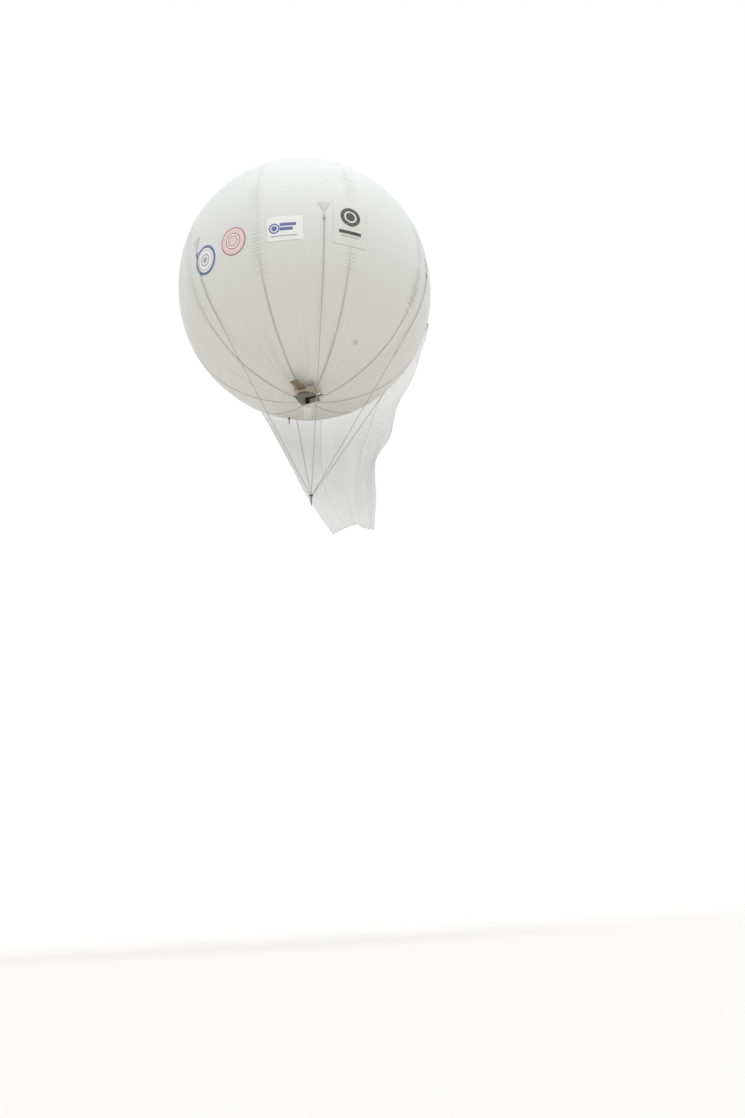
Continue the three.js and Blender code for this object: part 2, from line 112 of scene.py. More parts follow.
# Envelope sizes that several sub-assemblies share
ENVELOPE_RADIUS = 2.0
GORES = 9
GORE_ANGLE = 360 / GORES
BRIDLE_AZIMUTHS = {"front": 8.2, "right": 68.2, "rear_right": 128.2, "rear": 188.2, "left": -51.8}


def on_sphere(azimuth: float, latitude: float, radius: float = 1.0) -> Vector:
    """Point at an azimuth and a latitude, at a radius from the origin."""
    a, l = math.radians(azimuth), math.radians(latitude)
    return Vector((math.sin(a) * math.cos(l), -math.cos(a) * math.cos(l), math.sin(l))) * radius


def stand(at: Sequence[float], degrees: float = 0.0, axis: str = "Z") -> Matrix:
    """Frame at a point, turned by some degrees about one axis."""
    return Matrix.Translation(at) @ Matrix.Rotation(math.radians(degrees), 4, axis)


def envelope_frame(azimuth: float, latitude: float, radius: float) -> Matrix:
    """Frame that stands on the envelope: x across, y up the meridian, z outwards.

    Args:
        azimuth: Degrees from the front towards +X.
        latitude: Degrees above the equator.
        radius: Distance of the frame's origin from the envelope's centre.

    Returns:
        The matrix from that frame to the object's own frame.
    """
    out = on_sphere(azimuth, latitude)
    across = on_sphere(azimuth + 90, 0)
    turn = Matrix((across, out.cross(across), out)).transposed()
    return Matrix.Translation(out * radius) @ turn.to_4x4()


# Node trees


@dataclass(frozen=True)
class Term:
    """A value in a node tree, whose sums and products become Math nodes."""

    graph: "Graph"
    socket: Socket

    def __getitem__(self, output: int | str) -> "Term":
        """Another output of the same node."""
        return Term(self.graph, self.socket.node.outputs[output])

    def do(self, operation: str, *others: object) -> "Term":
        """Result of one Math node on this value and up to two others."""
        return self.graph.math(operation, self, *others)

    def __add__(self, other: object) -> "Term":
        """Their sum."""
        return self.do("ADD", other)

    def __sub__(self, other: object) -> "Term":
        """Their difference."""
        return self.do("SUBTRACT", other)

    def __mul__(self, other: object) -> "Term":
        """Their product."""
        return self.do("MULTIPLY", other)

    def __truediv__(self, other: object) -> "Term":
        """This value over the other."""
        return self.do("DIVIDE", other)

    def __neg__(self) -> "Term":
        """The value with the other sign."""
        return self.do("MULTIPLY", -1.0)

    def split(self) -> list["Term"]:
        """The three numbers of a vector."""
        numbers = self.graph.add("ShaderNodeSeparateXYZ", {0: self})
        return [numbers[axis] for axis in range(3)]

    def ramp(self, low: float, high: float, start: float = 0.0, end: float = 1.0) -> "Term":
        """Smooth step from a start value to an end value, between a low and a high value of the term."""
        inputs = {0: self, 1: low, 2: high, 3: start, 4: end}
        return self.graph.add("ShaderNodeMapRange", inputs, interpolation_type="SMOOTHSTEP")

    def bell(self, width: float) -> "Term":
        """A bell curve that is 1 where the value is 0, and falls off over a width."""
        share = self / width
        return (-(share * share)).do("EXPONENT")

    def noise(self, scale: object, detail: float = 2.0, roughness: float = 0.5) -> "Term":
        """Noise from 0 to 1 at this vector, with its features for each unit, octaves and weight of the fine ones."""
        inputs = {"Vector": self, "Scale": scale, "Detail": detail, "Roughness": roughness}
        return self.graph.add("ShaderNodeTexNoise", inputs, noise_dimensions="3D")


@dataclass
class Graph:
    """Writes nodes and links into a node tree."""

    tree: Tree

    def add(self, kind: str, inputs: dict | None = None, **settings: object) -> Term:
        """Adds a node.

        Args:
            kind: The node's type name.
            inputs: Values or terms by input name or number.
            settings: The node's own settings.

        Returns:
            Its first output.
        """
        node = self.tree.nodes.new(kind)
        for name, value in settings.items():
            setattr(node, name, value)
        for key, value in (inputs or {}).items():
            self.feed(node.inputs[key], value)
        return Term(self, node.outputs[0])

    def feed(self, socket: Socket, value: object) -> None:
        """Links a term to an input, or sets the input's own value.

        Args:
            socket: The input.
            value: A term, a number, a vector, or a colour without its alpha.
        """
        if isinstance(value, Term):
            self.tree.links.new(value.socket, socket)
        else:
            socket.default_value = (*value, 1.0) if socket.type == "RGBA" else value

    def math(self, operation: str, *values: object) -> Term:
        """Result of one Math node on up to three values."""
        return self.add("ShaderNodeMath", dict(enumerate(values)), operation=operation)

    def combine(self, x: Term, y: Term, z: object = 0.0) -> Term:
        """A vector from three numbers."""
        return self.add("ShaderNodeCombineXYZ", {0: x, 1: y, 2: z})

    def turned(self, vector: Term, angle: Term, axis: str) -> Term:
        """A vector turned about one axis."""
        return self.add("ShaderNodeVectorRotate", {"Vector": vector, "Angle": angle}, rotation_type=f"{axis}_AXIS")

    def mix(self, share: Term, first: object, second: object) -> Term:
        """Mix of two colours, with the share of the second."""
        return self.add("ShaderNodeMix", {0: share, 6: first, 7: second}, data_type="RGBA", blend_type="MIX")[2]

    def call(self, group: Tree, **inputs: object) -> Term:
        """Places a node group, with its inputs by name."""
        return self.add(self.tree.bl_idname.replace("NodeTree", "NodeGroup"), inputs, node_tree=group)


class Group(Graph):
    """A node group with named inputs and outputs."""

    def __init__(self, name: str, kind: TreeKind, inputs: dict[str, object]) -> None:
        """Makes the group without its outputs.

        Args:
            name: Its name.
            kind: Shader or geometry.
            inputs: Kind or default number of each input, by name.
        """
        super().__init__(bpy.data.node_groups.new(name, kind.value))
        for label, value in inputs.items():
            if isinstance(value, SocketKind):
                self.socket(label, "INPUT", value)
            else:
                number = SocketKind.INTEGER if isinstance(value, int) else SocketKind.FLOAT
                self.socket(label, "INPUT", number).default_value = value
        self.given = self.add("NodeGroupInput")

    def socket(self, label: str, side: str, kind: SocketKind) -> bpy.types.NodeTreeInterfaceSocket:
        """Adds a named socket to the group's input or output side."""
        return self.tree.interface.new_socket(name=label, in_out=side, socket_type=kind.value)

    def __getitem__(self, name: str) -> Term:
        """One of the group's inputs."""
        return self.given[name]

    def give(self, kind: SocketKind = SocketKind.FLOAT, **results: Term) -> Tree:
        """Ends the group in its outputs.

        Args:
            kind: Their kind.
            results: What each gives, by name.

        Returns:
            The group's tree.
        """
        for label in results:
            self.socket(label, "OUTPUT", kind)
        out = self.tree.nodes.new("NodeGroupOutput")
        for label, value in results.items():
            self.feed(out.inputs[label], value)
        return self.tree


class Grower(Group):
    """A geometry tree that reads a mesh and ends in a finished one."""

    def __init__(self, name: str, inputs: dict[str, object]) -> None:
        """Makes the tree, with its own inputs between the mesh and the finish."""
        sockets = {"Geometry": SocketKind.GEOMETRY, **inputs, "Finish": SocketKind.MATERIAL}
        super().__init__(name, TreeKind.GEOMETRY, sockets)

    def end(self, mesh: Term) -> Tree:
        """Ends the tree in Realize Instances and Set Material."""
        realized = self.add("GeometryNodeRealizeInstances", {"Geometry": mesh})
        finished = self.add("GeometryNodeSetMaterial", {"Geometry": realized, "Material": self["Finish"]})
        return self.give(SocketKind.GEOMETRY, Geometry=finished)

    def aligned(self, direction: Term) -> Term:
        """The turn that brings +Z to a direction."""
        return self.add("FunctionNodeAlignRotationToVector", {"Vector": direction}, axis="Z")

    def copies(self, points: Term, shape: Term, turn: Term) -> Tree:
        """Puts a turned copy of a shape on each point, and ends the tree."""
        inputs = {"Points": points, "Instance": shape, "Rotation": turn}
        return self.end(self.add("GeometryNodeInstanceOnPoints", inputs))

    def threaded(self, shape: Term) -> Tree:
        """Threads a shape on the given lines at even steps of the pitch, and ends the tree."""
        line = self.add("GeometryNodeMeshToCurve", {"Mesh": self["Geometry"]})
        points = self.add("GeometryNodeCurveToPoints", {"Curve": line, "Length": self["Pitch"]}, mode="LENGTH")
        return self.copies(points, shape, self.aligned(points["Tangent"]))

    def stored(self, mesh: Term, name: str, value: Term, kind: str, domain: str) -> Term:
        """A mesh with a named attribute of some kind stored on one domain."""
        inputs = {"Geometry": mesh, "Name": name, "Value": value}
        return self.add("GeometryNodeStoreNamedAttribute", inputs, data_type=kind, domain=domain)

    def on_envelope(self, relief: Tree, mesh: Term, direction: Term, above: object, uv: Term) -> Tree:
        """Moves a mesh onto the envelope, stores its creases and its UV map, and ends the tree.

        Args:
            relief: The group that gives the surface's height.
            mesh: The mesh.
            direction: Where each point goes, from the envelope's centre.
            above: Height of each point over the surface and the lift.
            uv: Its UV map in metres.

        Returns:
            The group's tree.
        """
        surface = self.call(relief, Direction=direction)
        reach = surface["Height"] + self["Lift"] + ENVELOPE_RADIUS + above
        place = self.add("ShaderNodeVectorMath", {"Vector": direction, "Scale": reach}, operation="SCALE")
        crease_dirt_and_shade = self.stored(mesh, CREASE_NAME, surface["Crease"], "FLOAT", "POINT")
        mapped = self.stored(crease_dirt_and_shade, UV_NAME, uv, "FLOAT2", "CORNER")
        return self.end(self.add("GeometryNodeSetPosition", {"Geometry": mapped, "Position": place}))


def flattened(thing: Thing, wall: float = 0.0, side: float = -1.0) -> Thing:
    """Turns an object's modifiers into its plain mesh.

    Args:
        thing: The object.
        wall: Thickness to give it first, or 0 for none.
        side: Where the wall grows: -1 inwards, 0 both ways.

    Returns:
        The same object with its new mesh and no modifier.
    """
    if wall:
        solid = thing.modifiers.new("Wall", "SOLIDIFY")
        solid.thickness = wall
        solid.offset = side
    bpy.context.view_layer.update()
    graph = bpy.context.evaluated_depsgraph_get()
    mesh = bpy.data.meshes.new_from_object(thing.evaluated_get(graph), depsgraph=graph)
    thing.modifiers.clear()
    old = thing.data
    thing.data = mesh
    bpy.data.meshes.remove(old)
    mesh.name = thing.name
    mesh.shade_smooth()
    return thing


def grown(base: Thing, tree: Tree, finish: "Finish", values: dict[str, object], wall: float = 0.0) -> Thing:
    """Runs a geometry tree on an object and keeps the result as a plain mesh.

    Args:
        base: The object, whose mesh the tree reads.
        tree: The geometry tree.
        finish: The result's finish.
        values: The tree's other inputs by name.
        wall: Thickness to grow inwards, or 0 for none.

    Returns:
        The same object.
    """
    modifier = base.modifiers.new(tree.name, "NODES")
    modifier.node_group = tree
    identifiers = {s.name: s.identifier for s in tree.interface.items_tree if s.in_out == "INPUT"}
    for name, value in {**values, "Finish": finish.material()}.items():
        modifier[identifiers[name]] = value
    return flattened(base, wall)


# Meshes


def thing_from(name: str, mesh: bpy.types.Mesh, finish: "Finish | None" = None) -> Thing:
    """Puts a mesh in the scene as an object at the origin.

    Args:
        name: The object's name.
        mesh: The mesh.
        finish: Its finish, if it has one.

    Returns:
        The object.
    """
    thing = bpy.data.objects.new(name, mesh)
    bpy.context.scene.collection.objects.link(thing)
    if finish:
        mesh.materials.append(finish.material())
    return thing


def thing_of(name: str, bm: bmesh.types.BMesh, finish: "Finish | None" = None) -> Thing:
    """The same for a mesh that is being built, which is freed."""
    mesh = bpy.data.meshes.new(name)
    bm.to_mesh(mesh)
    bm.free()
    return thing_from(name, mesh, finish)


def edge_lines(name: str, lines: Sequence[Path]) -> Thing:
    """An object whose mesh is lines of edges, or loose points where a line has one, for a tree to follow."""
    bm = bmesh.new()
    for line in lines:
        verts = [bm.verts.new(point) for point in line]
        for pair in zip(verts, verts[1:]):
            bm.edges.new(pair)
    return thing_of(name, bm)


def arc(centre: Vector, start: Vector, turn_axis: Vector, angle: float, steps: int) -> list[Vector]:
    """Points on an arc, both ends included.

    Args:
        centre: The arc's centre.
        start: Its first point, from the centre.
        turn_axis: The axis that it turns about.
        angle: Degrees that it turns through.
        steps: Number of equal steps.

    Returns:
        The points.
    """
    turns = (Matrix.Rotation(math.radians(angle * i / steps), 3, turn_axis) for i in range(steps + 1))
    return [centre + turn @ start for turn in turns]


def side_view(points: Outline) -> list[Vector]:
    """Points of the plane through a frame's own y and z."""
    return [Vector((0, y, z)) for y, z in points]


def arc_lengths(points: np.ndarray) -> np.ndarray:
    """Distance of each point from the first, along the line through them."""
    return np.concatenate([[0], np.cumsum(np.linalg.norm(np.diff(points, axis=0), axis=1))])


def circle_outline(radius: float, steps: int = 64) -> list[tuple[float, float]]:
    """Outline of a disc."""
    angles = [math.tau * i / steps for i in range(steps)]
    return [(radius * math.cos(a), radius * math.sin(a)) for a in angles]


def rounded_outline(width: float, height: float, corner: float, step: float = 0.012) -> list[tuple[float, float]]:
    """Outline of a rectangle with round corners.

    Args:
        width: Size along x.
        height: Size along y.
        corner: Corner radius.
        step: Distance between points on its sides.

    Returns:
        Points, counter-clockwise.
    """
    points: list[tuple[float, float]] = []
    x, y = width / 2 - corner, height / 2 - corner
    centres = [(x, -y), (x, y), (-x, y), (-x, -y)]
    for k, (x, y) in enumerate(centres):
        turns = [math.radians(-90 + 90 * k + 18 * i) for i in range(6)]
        points += [(x + corner * math.cos(a), y + corner * math.sin(a)) for a in turns]
        x, y = centres[(k + 1) % 4]
        last, goal = points[-1], (x + corner * math.cos(turns[-1]), y + corner * math.sin(turns[-1]))
        count = max(1, round(math.dist(last, goal) / step))
        points += [tuple(a + (b - a) * i / count for a, b in zip(last, goal)) for i in range(1, count)]
    return points


def polar_mesh(name: str, outline: Outline, rings: int) -> Thing:
    """Flat mesh whose rings follow an outline to its middle.

    Args:
        name: The object's name.
        outline: The outer points, counter-clockwise about (0, 0).
        rings: Number of rings of faces.

    Returns:
        The object.
    """
    bm = bmesh.new()
    shares = [1 - i / rings for i in range(rings)]
    rows = [[bm.verts.new((x * share, y * share, 0)) for x, y in outline] for share in shares]
    rows.append([bm.verts.new((0, 0, 0))] * len(outline))
    for outer, inner in zip(rows, rows[1:]):
        for i in range(len(outline)):
            j = (i + 1) % len(outline)
            bm.faces.new(dict.fromkeys((outer[i], outer[j], inner[j], inner[i])))
    return thing_of(name, bm)


@dataclass
class Form:
    """Collects the faces of one mesh, with a UV map in metres along tubes and ribbons."""

    place: Matrix = field(default_factory=HERE.copy)
    bm: bmesh.types.BMesh = field(default_factory=bmesh.new)

    def __post_init__(self) -> None:
        """Makes the UV layer."""
        self.uv = self.bm.loops.layers.uv.new(UV_NAME)

    def box(self, size: Sequence[float], at: Sequence[float], bevel: float, segments: int = 2) -> "Form":
        """Adds a box with rounded edges.

        Args:
            size: Its three sizes.
            at: Its centre.
            bevel: Radius of its edges.
            segments: Steps in each edge.

        Returns:
            The form.
        """
        matrix = Matrix.Translation(at) @ Matrix.Diagonal((*size, 1))
        made = bmesh.ops.create_cube(self.bm, size=1, matrix=matrix)
        edges = list({edge for vert in made["verts"] for edge in vert.link_edges})
        settings = {"profile": 0.5, "affect": "EDGES", "clamp_overlap": True}
        bmesh.ops.bevel(self.bm, geom=edges, offset=bevel, segments=segments, **settings)
        return self

    def lathe(self, profile: Outline, sides: int, place: Matrix = HERE) -> "Form":
        """Adds a closed turned shape.

        Args:
            profile: Radius and height from the foot up, closed by a disc where an end isn't on the axis.
            sides: Number of faces round it.
            place: Where its axis stands, +Z by default.

        Returns:
            The form.
        """
        foot = [(0.0, profile[0][1])] if profile[0][0] else []
        head = [(0.0, profile[-1][1])] if profile[-1][0] else []
        rings = []
        for radius, height in (*foot, *profile, *head):
            ring = circle_outline(radius, sides) if radius else [(0.0, 0.0)]
            rings.append([self.bm.verts.new(place @ Vector((x, y, height))) for x, y in ring])
        for low, high in zip(rings, rings[1:]):
            for i in range(sides):
                j = (i + 1) % sides
                corners = (low[i % len(low)], low[j % len(low)], high[j % len(high)], high[i % len(high)])
                self.bm.faces.new(dict.fromkeys(corners))
        return self

    def tube(self, path: Path, radius: float | Callable[[float], float], sides: int, closed: bool = False) -> "Form":
        """Adds a round tube along a path, with its radius or its radius by distance from the start."""
        return self.sweep(path, circle_outline(1.0, sides), radius, closed)

    def sweep(
        self,
        path: Path,
        section: Outline,
        radius: float | Callable[[float], float] = 1.0,
        closed: bool = False,
        up: Vector | None = None,
    ) -> "Form":
        """Adds a section that follows a path without twisting.

        Args:
            path: The path's points.
            section: The section's outline, counter-clockwise as seen from the path's end.
            radius: Scale of the section, or its scale by distance from the start.
            closed: Whether the path's end joins its start.
            up: Direction of the section's second axis at the start.

        Returns:
            The form.
        """
        count, sides = len(path), len(section)
        tangents = []
        for i in range(count):
            before = path[i - 1] if i or closed else path[i]
            after = path[(i + 1) % count] if i < count - 1 or closed else path[i]
            tangents.append((after - before).normalized())
        second = up if up is not None else tangents[0].orthogonal()
        rings, lengths, travelled = [], [], 0.0
        for i, (point, tangent) in enumerate(zip(path, tangents)):
            travelled += (point - path[i - 1]).length if i else 0.0
            second = (second - tangent * second.dot(tangent)).normalized()
            first = second.cross(tangent)
            size = radius(travelled) if callable(radius) else radius
            rings.append([self.bm.verts.new(point + (first * x + second * y) * size) for x, y in section])
            lengths.append(travelled)
        if closed:
            rings.append(rings[0])
            lengths.append(travelled + (path[0] - path[-1]).length)
        girth = [0.0]
        for i in range(sides):
            girth.append(girth[-1] + math.dist(section[i], section[(i + 1) % sides]))
        for (low, high), (start, end) in zip(zip(rings, rings[1:]), zip(lengths, lengths[1:])):
            for i in range(sides):
                j = (i + 1) % sides
                made = self.bm.faces.new((low[i], low[j], high[j], high[i]))
                uvs = ((girth[i], start), (girth[i + 1], start), (girth[i + 1], end), (girth[i], end))
                for loop, uv in zip(made.loops, uvs):
                    loop[self.uv].uv = uv
        if not closed:
            self.bm.faces.new(rings[0][::-1])
            self.bm.faces.new(rings[-1])
        return self

    def ribbon(self, path: Path, width: float, thickness: float, up: Vector) -> "Form":
        """Adds a flat webbing strap along a path, with the direction of its flat face at the start."""
        w, t, c = width / 2, thickness / 2, thickness / 3
        section = [(w - c, -t), (w, 0), (w - c, t), (0, t), (c - w, t), (-w, 0), (c - w, -t), (0, -t)]
        return self.sweep(path, section, up=up)

    def plate(self, outline: Outline, hole: float, low: float, high: float, place: Matrix) -> "Form":
        """Adds a flat plate with a round hole.

        Args:
            outline: Its outline, counter-clockwise about the hole's middle.
            hole: Radius of the hole.
            low: Height of its lower face.
            high: Height of its upper face.
            place: The plate's own frame.

        Returns:
            The form.
        """
        loops = [list(outline), [(x, -y) for x, y in circle_outline(hole, 20)]]
        for side, height in ((-1, low), (1, high)):
            edges = []
            for points in loops:
                verts = [self.bm.verts.new(place @ Vector((x, y, height))) for x, y in points]
                edges += [self.bm.edges.new((verts[i - 1], verts[i])) for i in range(len(verts))]
            normal = place.to_3x3() @ Vector((0, 0, side))
            bmesh.ops.triangle_fill(self.bm, edges=edges, use_beauty=True, use_dissolve=False, normal=normal)
        for points in loops:
            for i, (x, y) in enumerate(points):
                before = points[i - 1]
                corners = ((*before, low), (x, y, low), (x, y, high), (*before, high))
                self.bm.faces.new([self.bm.verts.new(place @ Vector(corner)) for corner in corners])
        return self

    def keep(self, name: str, finish: "Finish", slot: Slot, *nodes: str, body: Body = Body.AEROSTAT) -> None:
        """Makes the object and hands it to the frame.

        Args:
            name: Its name.
            finish: Its finish.
            slot: The record's slot for its finish.
            nodes: CAD nodes that it stands for.
            body: The body that it rides on.
        """
        bmesh.ops.remove_doubles(self.bm, verts=self.bm.verts, dist=1e-6)
        self.bm.transform(self.place)
        bmesh.ops.recalc_face_normals(self.bm, faces=self.bm.faces)
        thing = thing_of(name, self.bm, finish)
        thing.data.shade_smooth()
        thing.data.set_sharp_from_angle(angle=math.radians(SHARP_ANGLE))
        keep(thing, slot, *nodes, body=body)


def joined(name: str, things: Sequence[Thing], finish: "Finish") -> Thing:
    """Joins objects that share one finish.

    Args:
        name: The joined object's name.
        things: The objects, which are removed.
        finish: Their finish.

    Returns:
        The joined object.
    """
    bm = bmesh.new()
    for thing in things:
        bm.from_mesh(thing.data)
        bpy.data.objects.remove(thing)
    whole = thing_of(name, bm, finish)
    whole.data.shade_smooth()
    return whole


def keep(thing: Thing, slot: Slot, *nodes: str, body: Body = Body.AEROSTAT) -> Thing:
    """Hands a finished piece to the frame.

    Args:
        thing: The piece.
        slot: The record's slot for its finish; not used.
        nodes: CAD nodes that it stands for.
        body: The body that it rides on.

    Returns:
        The piece.
    """
    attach(thing, body.value)
    if nodes:
        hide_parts(*nodes)
    LOG.info("%s: %d faces on %s", thing.name, len(thing.data.polygons), body.value)
    return thing


# Shader groups


def weave_group() -> Tree:
    """Height of a plain weave with a ripstop grid, on a vector in metres."""
    sockets = {"Vector": SocketKind.VECTOR, "Thread": 0.0006, "Ripstop": 0.006}
    group = Group("Fabric weave", TreeKind.SHADER, sockets)
    axes = group["Vector"].split()[:2]
    waves = [(axis / group["Thread"] * (math.tau / 2)).do("SINE") for axis in axes]
    rips = [(axis / group["Ripstop"]).do("PINGPONG", 0.5).ramp(0.0, 0.09, 1.0, 0.0) for axis in axes]
    return group.give(Height=waves[0] * waves[1] * 0.35 + rips[0].do("MAXIMUM", rips[1]))


def grime_group() -> Tree:
    """Broad uneven tone, fine mottle and a few spots, as masks from 0 to 1."""
    sockets = {"Vector": SocketKind.VECTOR, "Broad": 1.2, "Fine": 30.0, "Spots": 9.0}
    group = Group("Grime", TreeKind.SHADER, sockets)
    vector = group["Vector"]
    cells = group.add("ShaderNodeTexVoronoi", {"Vector": vector, "Scale": group["Spots"]}, feature="F1")
    chosen = cells["Position"].noise(3.7, 0.0).ramp(0.62, 0.64)
    strength = cells["Position"].split()[0].ramp(-9.0, 9.0).ramp(0.0, 0.2, 0.9, 1.0)
    return group.give(
        Tone=vector.noise(group["Broad"], 3.0, 0.55).ramp(0.3, 0.72),
        Mottle=vector.noise(group["Fine"], 4.0, 0.6).ramp(0.3, 0.7),
        Spot=cells.ramp(0.03, 0.09, 1.0, 0.0) * chosen * strength,
    )


def grain_group() -> Tree:
    """Height of fine moulded or blasted grain."""
    group = Group("Moulded grain", TreeKind.SHADER, {"Vector": SocketKind.VECTOR, "Size": 0.0012})
    inputs = {"Vector": group["Vector"], "Scale": group.math("DIVIDE", 1.0, group["Size"])}
    return group.give(Height=group.add("ShaderNodeTexVoronoi", inputs, feature="F1").ramp(0.1, 0.7, 1.0, 0.0))


def gather_group() -> Tree:
    """Height of the fine gathers that run up the envelope from its lower pole."""
    group = Group("Pole gathers", TreeKind.SHADER, {"Vector": SocketKind.VECTOR, "Count": 24.0})
    x, y, z = group["Vector"].split()
    where = group.combine(x.do("ARCTAN2", -y) * group["Count"], z * 0.8)
    return group.give(Height=(where.noise(1.0, 1.0) - 0.5) * z.ramp(-1.96, -1.15, 1.0, 0.0))


@dataclass
class ShaderGroups:
    """The shader groups that the finishes share, each built once."""

    gather: Tree = field(default_factory=gather_group)
    weave: Tree = field(default_factory=weave_group)
    grime: Tree = field(default_factory=grime_group)
    grain: Tree = field(default_factory=grain_group)


GROUPS = ShaderGroups()


# Finishes


@dataclass
class Paint(Graph):
    """A material's node tree, with its Principled BSDF."""

    shader: bpy.types.Node

    def set(self, name: str, value: object) -> None:
        """Feeds one of the shader's inputs."""
        self.feed(self.shader.inputs[name], value)

    def at(self, kind: str) -> Term:
        """Object or UV coordinates."""
        return self.add("ShaderNodeTexCoord")[kind]

    def colour(self) -> Term:
        """The colour that feeds the shader so far."""
        return Term(self, self.shader.inputs["Base Color"].links[0].from_socket)

    def grime(self, broad: float, fine: float, spots: float = 9.0) -> Term:
        """The grime masks, with the scale of each."""
        return self.call(GROUPS.grime, Vector=self.at("Object"), Broad=broad, Fine=fine, Spots=spots)

    def bump(self, height: Term, depth: float) -> None:
        """Feeds a height to the normal, with what a height of 1 is in metres."""
        self.set("Normal", self.add("ShaderNodeBump", {"Strength": 1.0, "Distance": depth, "Height": height}))


@dataclass(frozen=True)
class Finish:
    """A finish with its own colour, gloss and varying surface."""

    name: str
    colour: Colour
    roughness: float = 0.6
    metallic: float = 0.0
    coat: float = 0.0
    sheen: float = 0.0
    specular: float = 0.5
    alpha: float = 1.0

    def material(self) -> bpy.types.Material:
        """The finish's material, made when first asked for."""
        return bpy.data.materials.get(self.name) or self.build()

    def build(self) -> bpy.types.Material:
        """Makes the material and sets the values that are the same all over."""
        material = bpy.data.materials.new(self.name)
        material.use_nodes = True
        material.diffuse_color = (*self.colour, 1.0)
        nodes = material.node_tree.nodes
        paint = Paint(material.node_tree, next(n for n in nodes if n.type == "BSDF_PRINCIPLED"))
        paint.set("Base Color", self.colour)
        paint.set("Roughness", self.roughness)
        paint.set("Metallic", self.metallic)
        paint.set("Coat Weight", self.coat)
        paint.set("Sheen Weight", self.sheen)
        paint.set("Specular IOR Level", self.specular)
        paint.set("Alpha", self.alpha)
        self.dress(paint)
        return material

    def dress(self, paint: Paint) -> None:
        """Adds what varies over the surface: tone, mottle and grain.

        Args:
            paint: The material's nodes.
        """
        self.tint(paint, paint.grime(8.0, 120.0), 0.86, 0.25)
        grain = paint.call(GROUPS.grain, Vector=paint.at("Object"), Size=0.0011)
        paint.bump(grain, 0.00008)

    def shaded(self, share: float) -> Colour:
        """A share of the finish's colour."""
        return tuple(c * share for c in self.colour)

    def tint(self, paint: Paint, grime: Term, shade: float, change: float) -> None:
        """Darkens the colour by grime, and roughens the surface with it.

        Args:
            paint: The material's nodes.
            grime: The grime masks.
            shade: Share of the colour where it is darkest.
            change: How far the roughness rises.
        """
        mask = grime["Tone"] * grime["Mottle"]
        paint.set("Base Color", paint.mix(mask, self.colour, self.shaded(shade)))
        rough = min(1.0, self.roughness * (1 + change))
        paint.set("Roughness", mask.ramp(0.0, 1.0, self.roughness, rough))


@dataclass(frozen=True)
class EnvelopeFinish(Finish):
    """Coated fabric with a faint uneven tone, a dusty mottle, painted shade that deepens towards the lower pole, spots
    and a weave.
    """

    shade: float = 0.965
    # The warm colour goes on the dusty mottle and on the painted shade low down; the dark one goes on the spots and on
    # the painted shade in the creases and gathers.
    warm: Colour = (0.575, 0.565, 0.495)
    dirt_and_shade: Colour = (0.27, 0.24, 0.195)
    low_shade: float = 0.0
    crease_dirt_and_shade: float = 0.0
    gathered: float = 0.0
    weave_depth: float = 0.00004

    def dress(self, paint: Paint) -> None:
        """Adds broad tone, a fine dusty mottle, painted shade towards the lower pole, spots, stains and painted shade
        in the creases, gathers with painted shade in their troughs, and the weave.

        Args:
            paint: The material's nodes.
        """
        grime = paint.grime(1.3, 26.0, 3.2)
        colour = paint.mix(grime["Tone"], self.colour, self.shaded(self.shade))
        dust_and_low_shade = grime["Mottle"] * 0.12
        # Painted shade: the colour turns darker and warmer towards the lower pole, on top of the dusty mottle.
        if self.low_shade:
            dust_and_low_shade = dust_and_low_shade + paint.at("Object").split()[2].ramp(-1.6, 0.9, self.low_shade, 0.0)
        colour = paint.mix(dust_and_low_shade, colour, self.warm)
        colour = paint.mix(grime["Spot"] * 0.35, colour, self.dirt_and_shade)
        # Stains and painted shade: the troughs of the puckers are darkened.
        if self.crease_dirt_and_shade:
            crease = paint.add("ShaderNodeAttribute", attribute_name=CREASE_NAME)["Fac"]
            colour = paint.mix(crease * self.crease_dirt_and_shade, colour, self.dirt_and_shade)
        height, depth = paint.call(GROUPS.weave, Vector=paint.at("UV")), self.weave_depth
        if self.gathered:
            gather = paint.call(GROUPS.gather, Vector=paint.at("Object"))
            height, depth = height * (depth / self.gathered) + gather, self.gathered
            # Painted shade: the troughs of the gathers are darkened.
            colour = paint.mix(gather.ramp(-0.2, 0.0, 1.0, 0.0) * 0.16, colour, self.dirt_and_shade)
        paint.set("Base Color", colour)
        paint.set("Roughness", grime["Mottle"].ramp(0.0, 1.0, self.roughness - 0.05, self.roughness + 0.08))
        paint.bump(height, depth)


@dataclass(frozen=True)
class Mark:
    """A plain printed mark: a disc, a ring, or a bar where it has a height."""

    colour: Colour
    middle: tuple[float, float] = (0.0, 0.0)
    width: float = 0.1
    height: float = 0.0
    inner: float = 0.0
    soft: float = 0.0005

    def mask(self, x: Term, y: Term) -> Term:
        """Where the mark is, with a soft edge.

        Args:
            x: The surface's first coordinate in metres.
            y: Its second coordinate.

        Returns:
            1 inside the mark and 0 outside.
        """
        across, up, soft = x - self.middle[0], y - self.middle[1], self.soft
        if self.height:
            beyond = up.do("ABSOLUTE") - self.height
            return (across.do("ABSOLUTE") - self.width).do("MAXIMUM", beyond).ramp(-soft, soft, 1.0, 0.0)
        distance = (across * across + up * up).do("SQRT")
        disc = distance.ramp(self.width - soft, self.width + soft, 1.0, 0.0)
        return disc * distance.ramp(self.inner - soft, self.inner + soft) if self.inner else disc


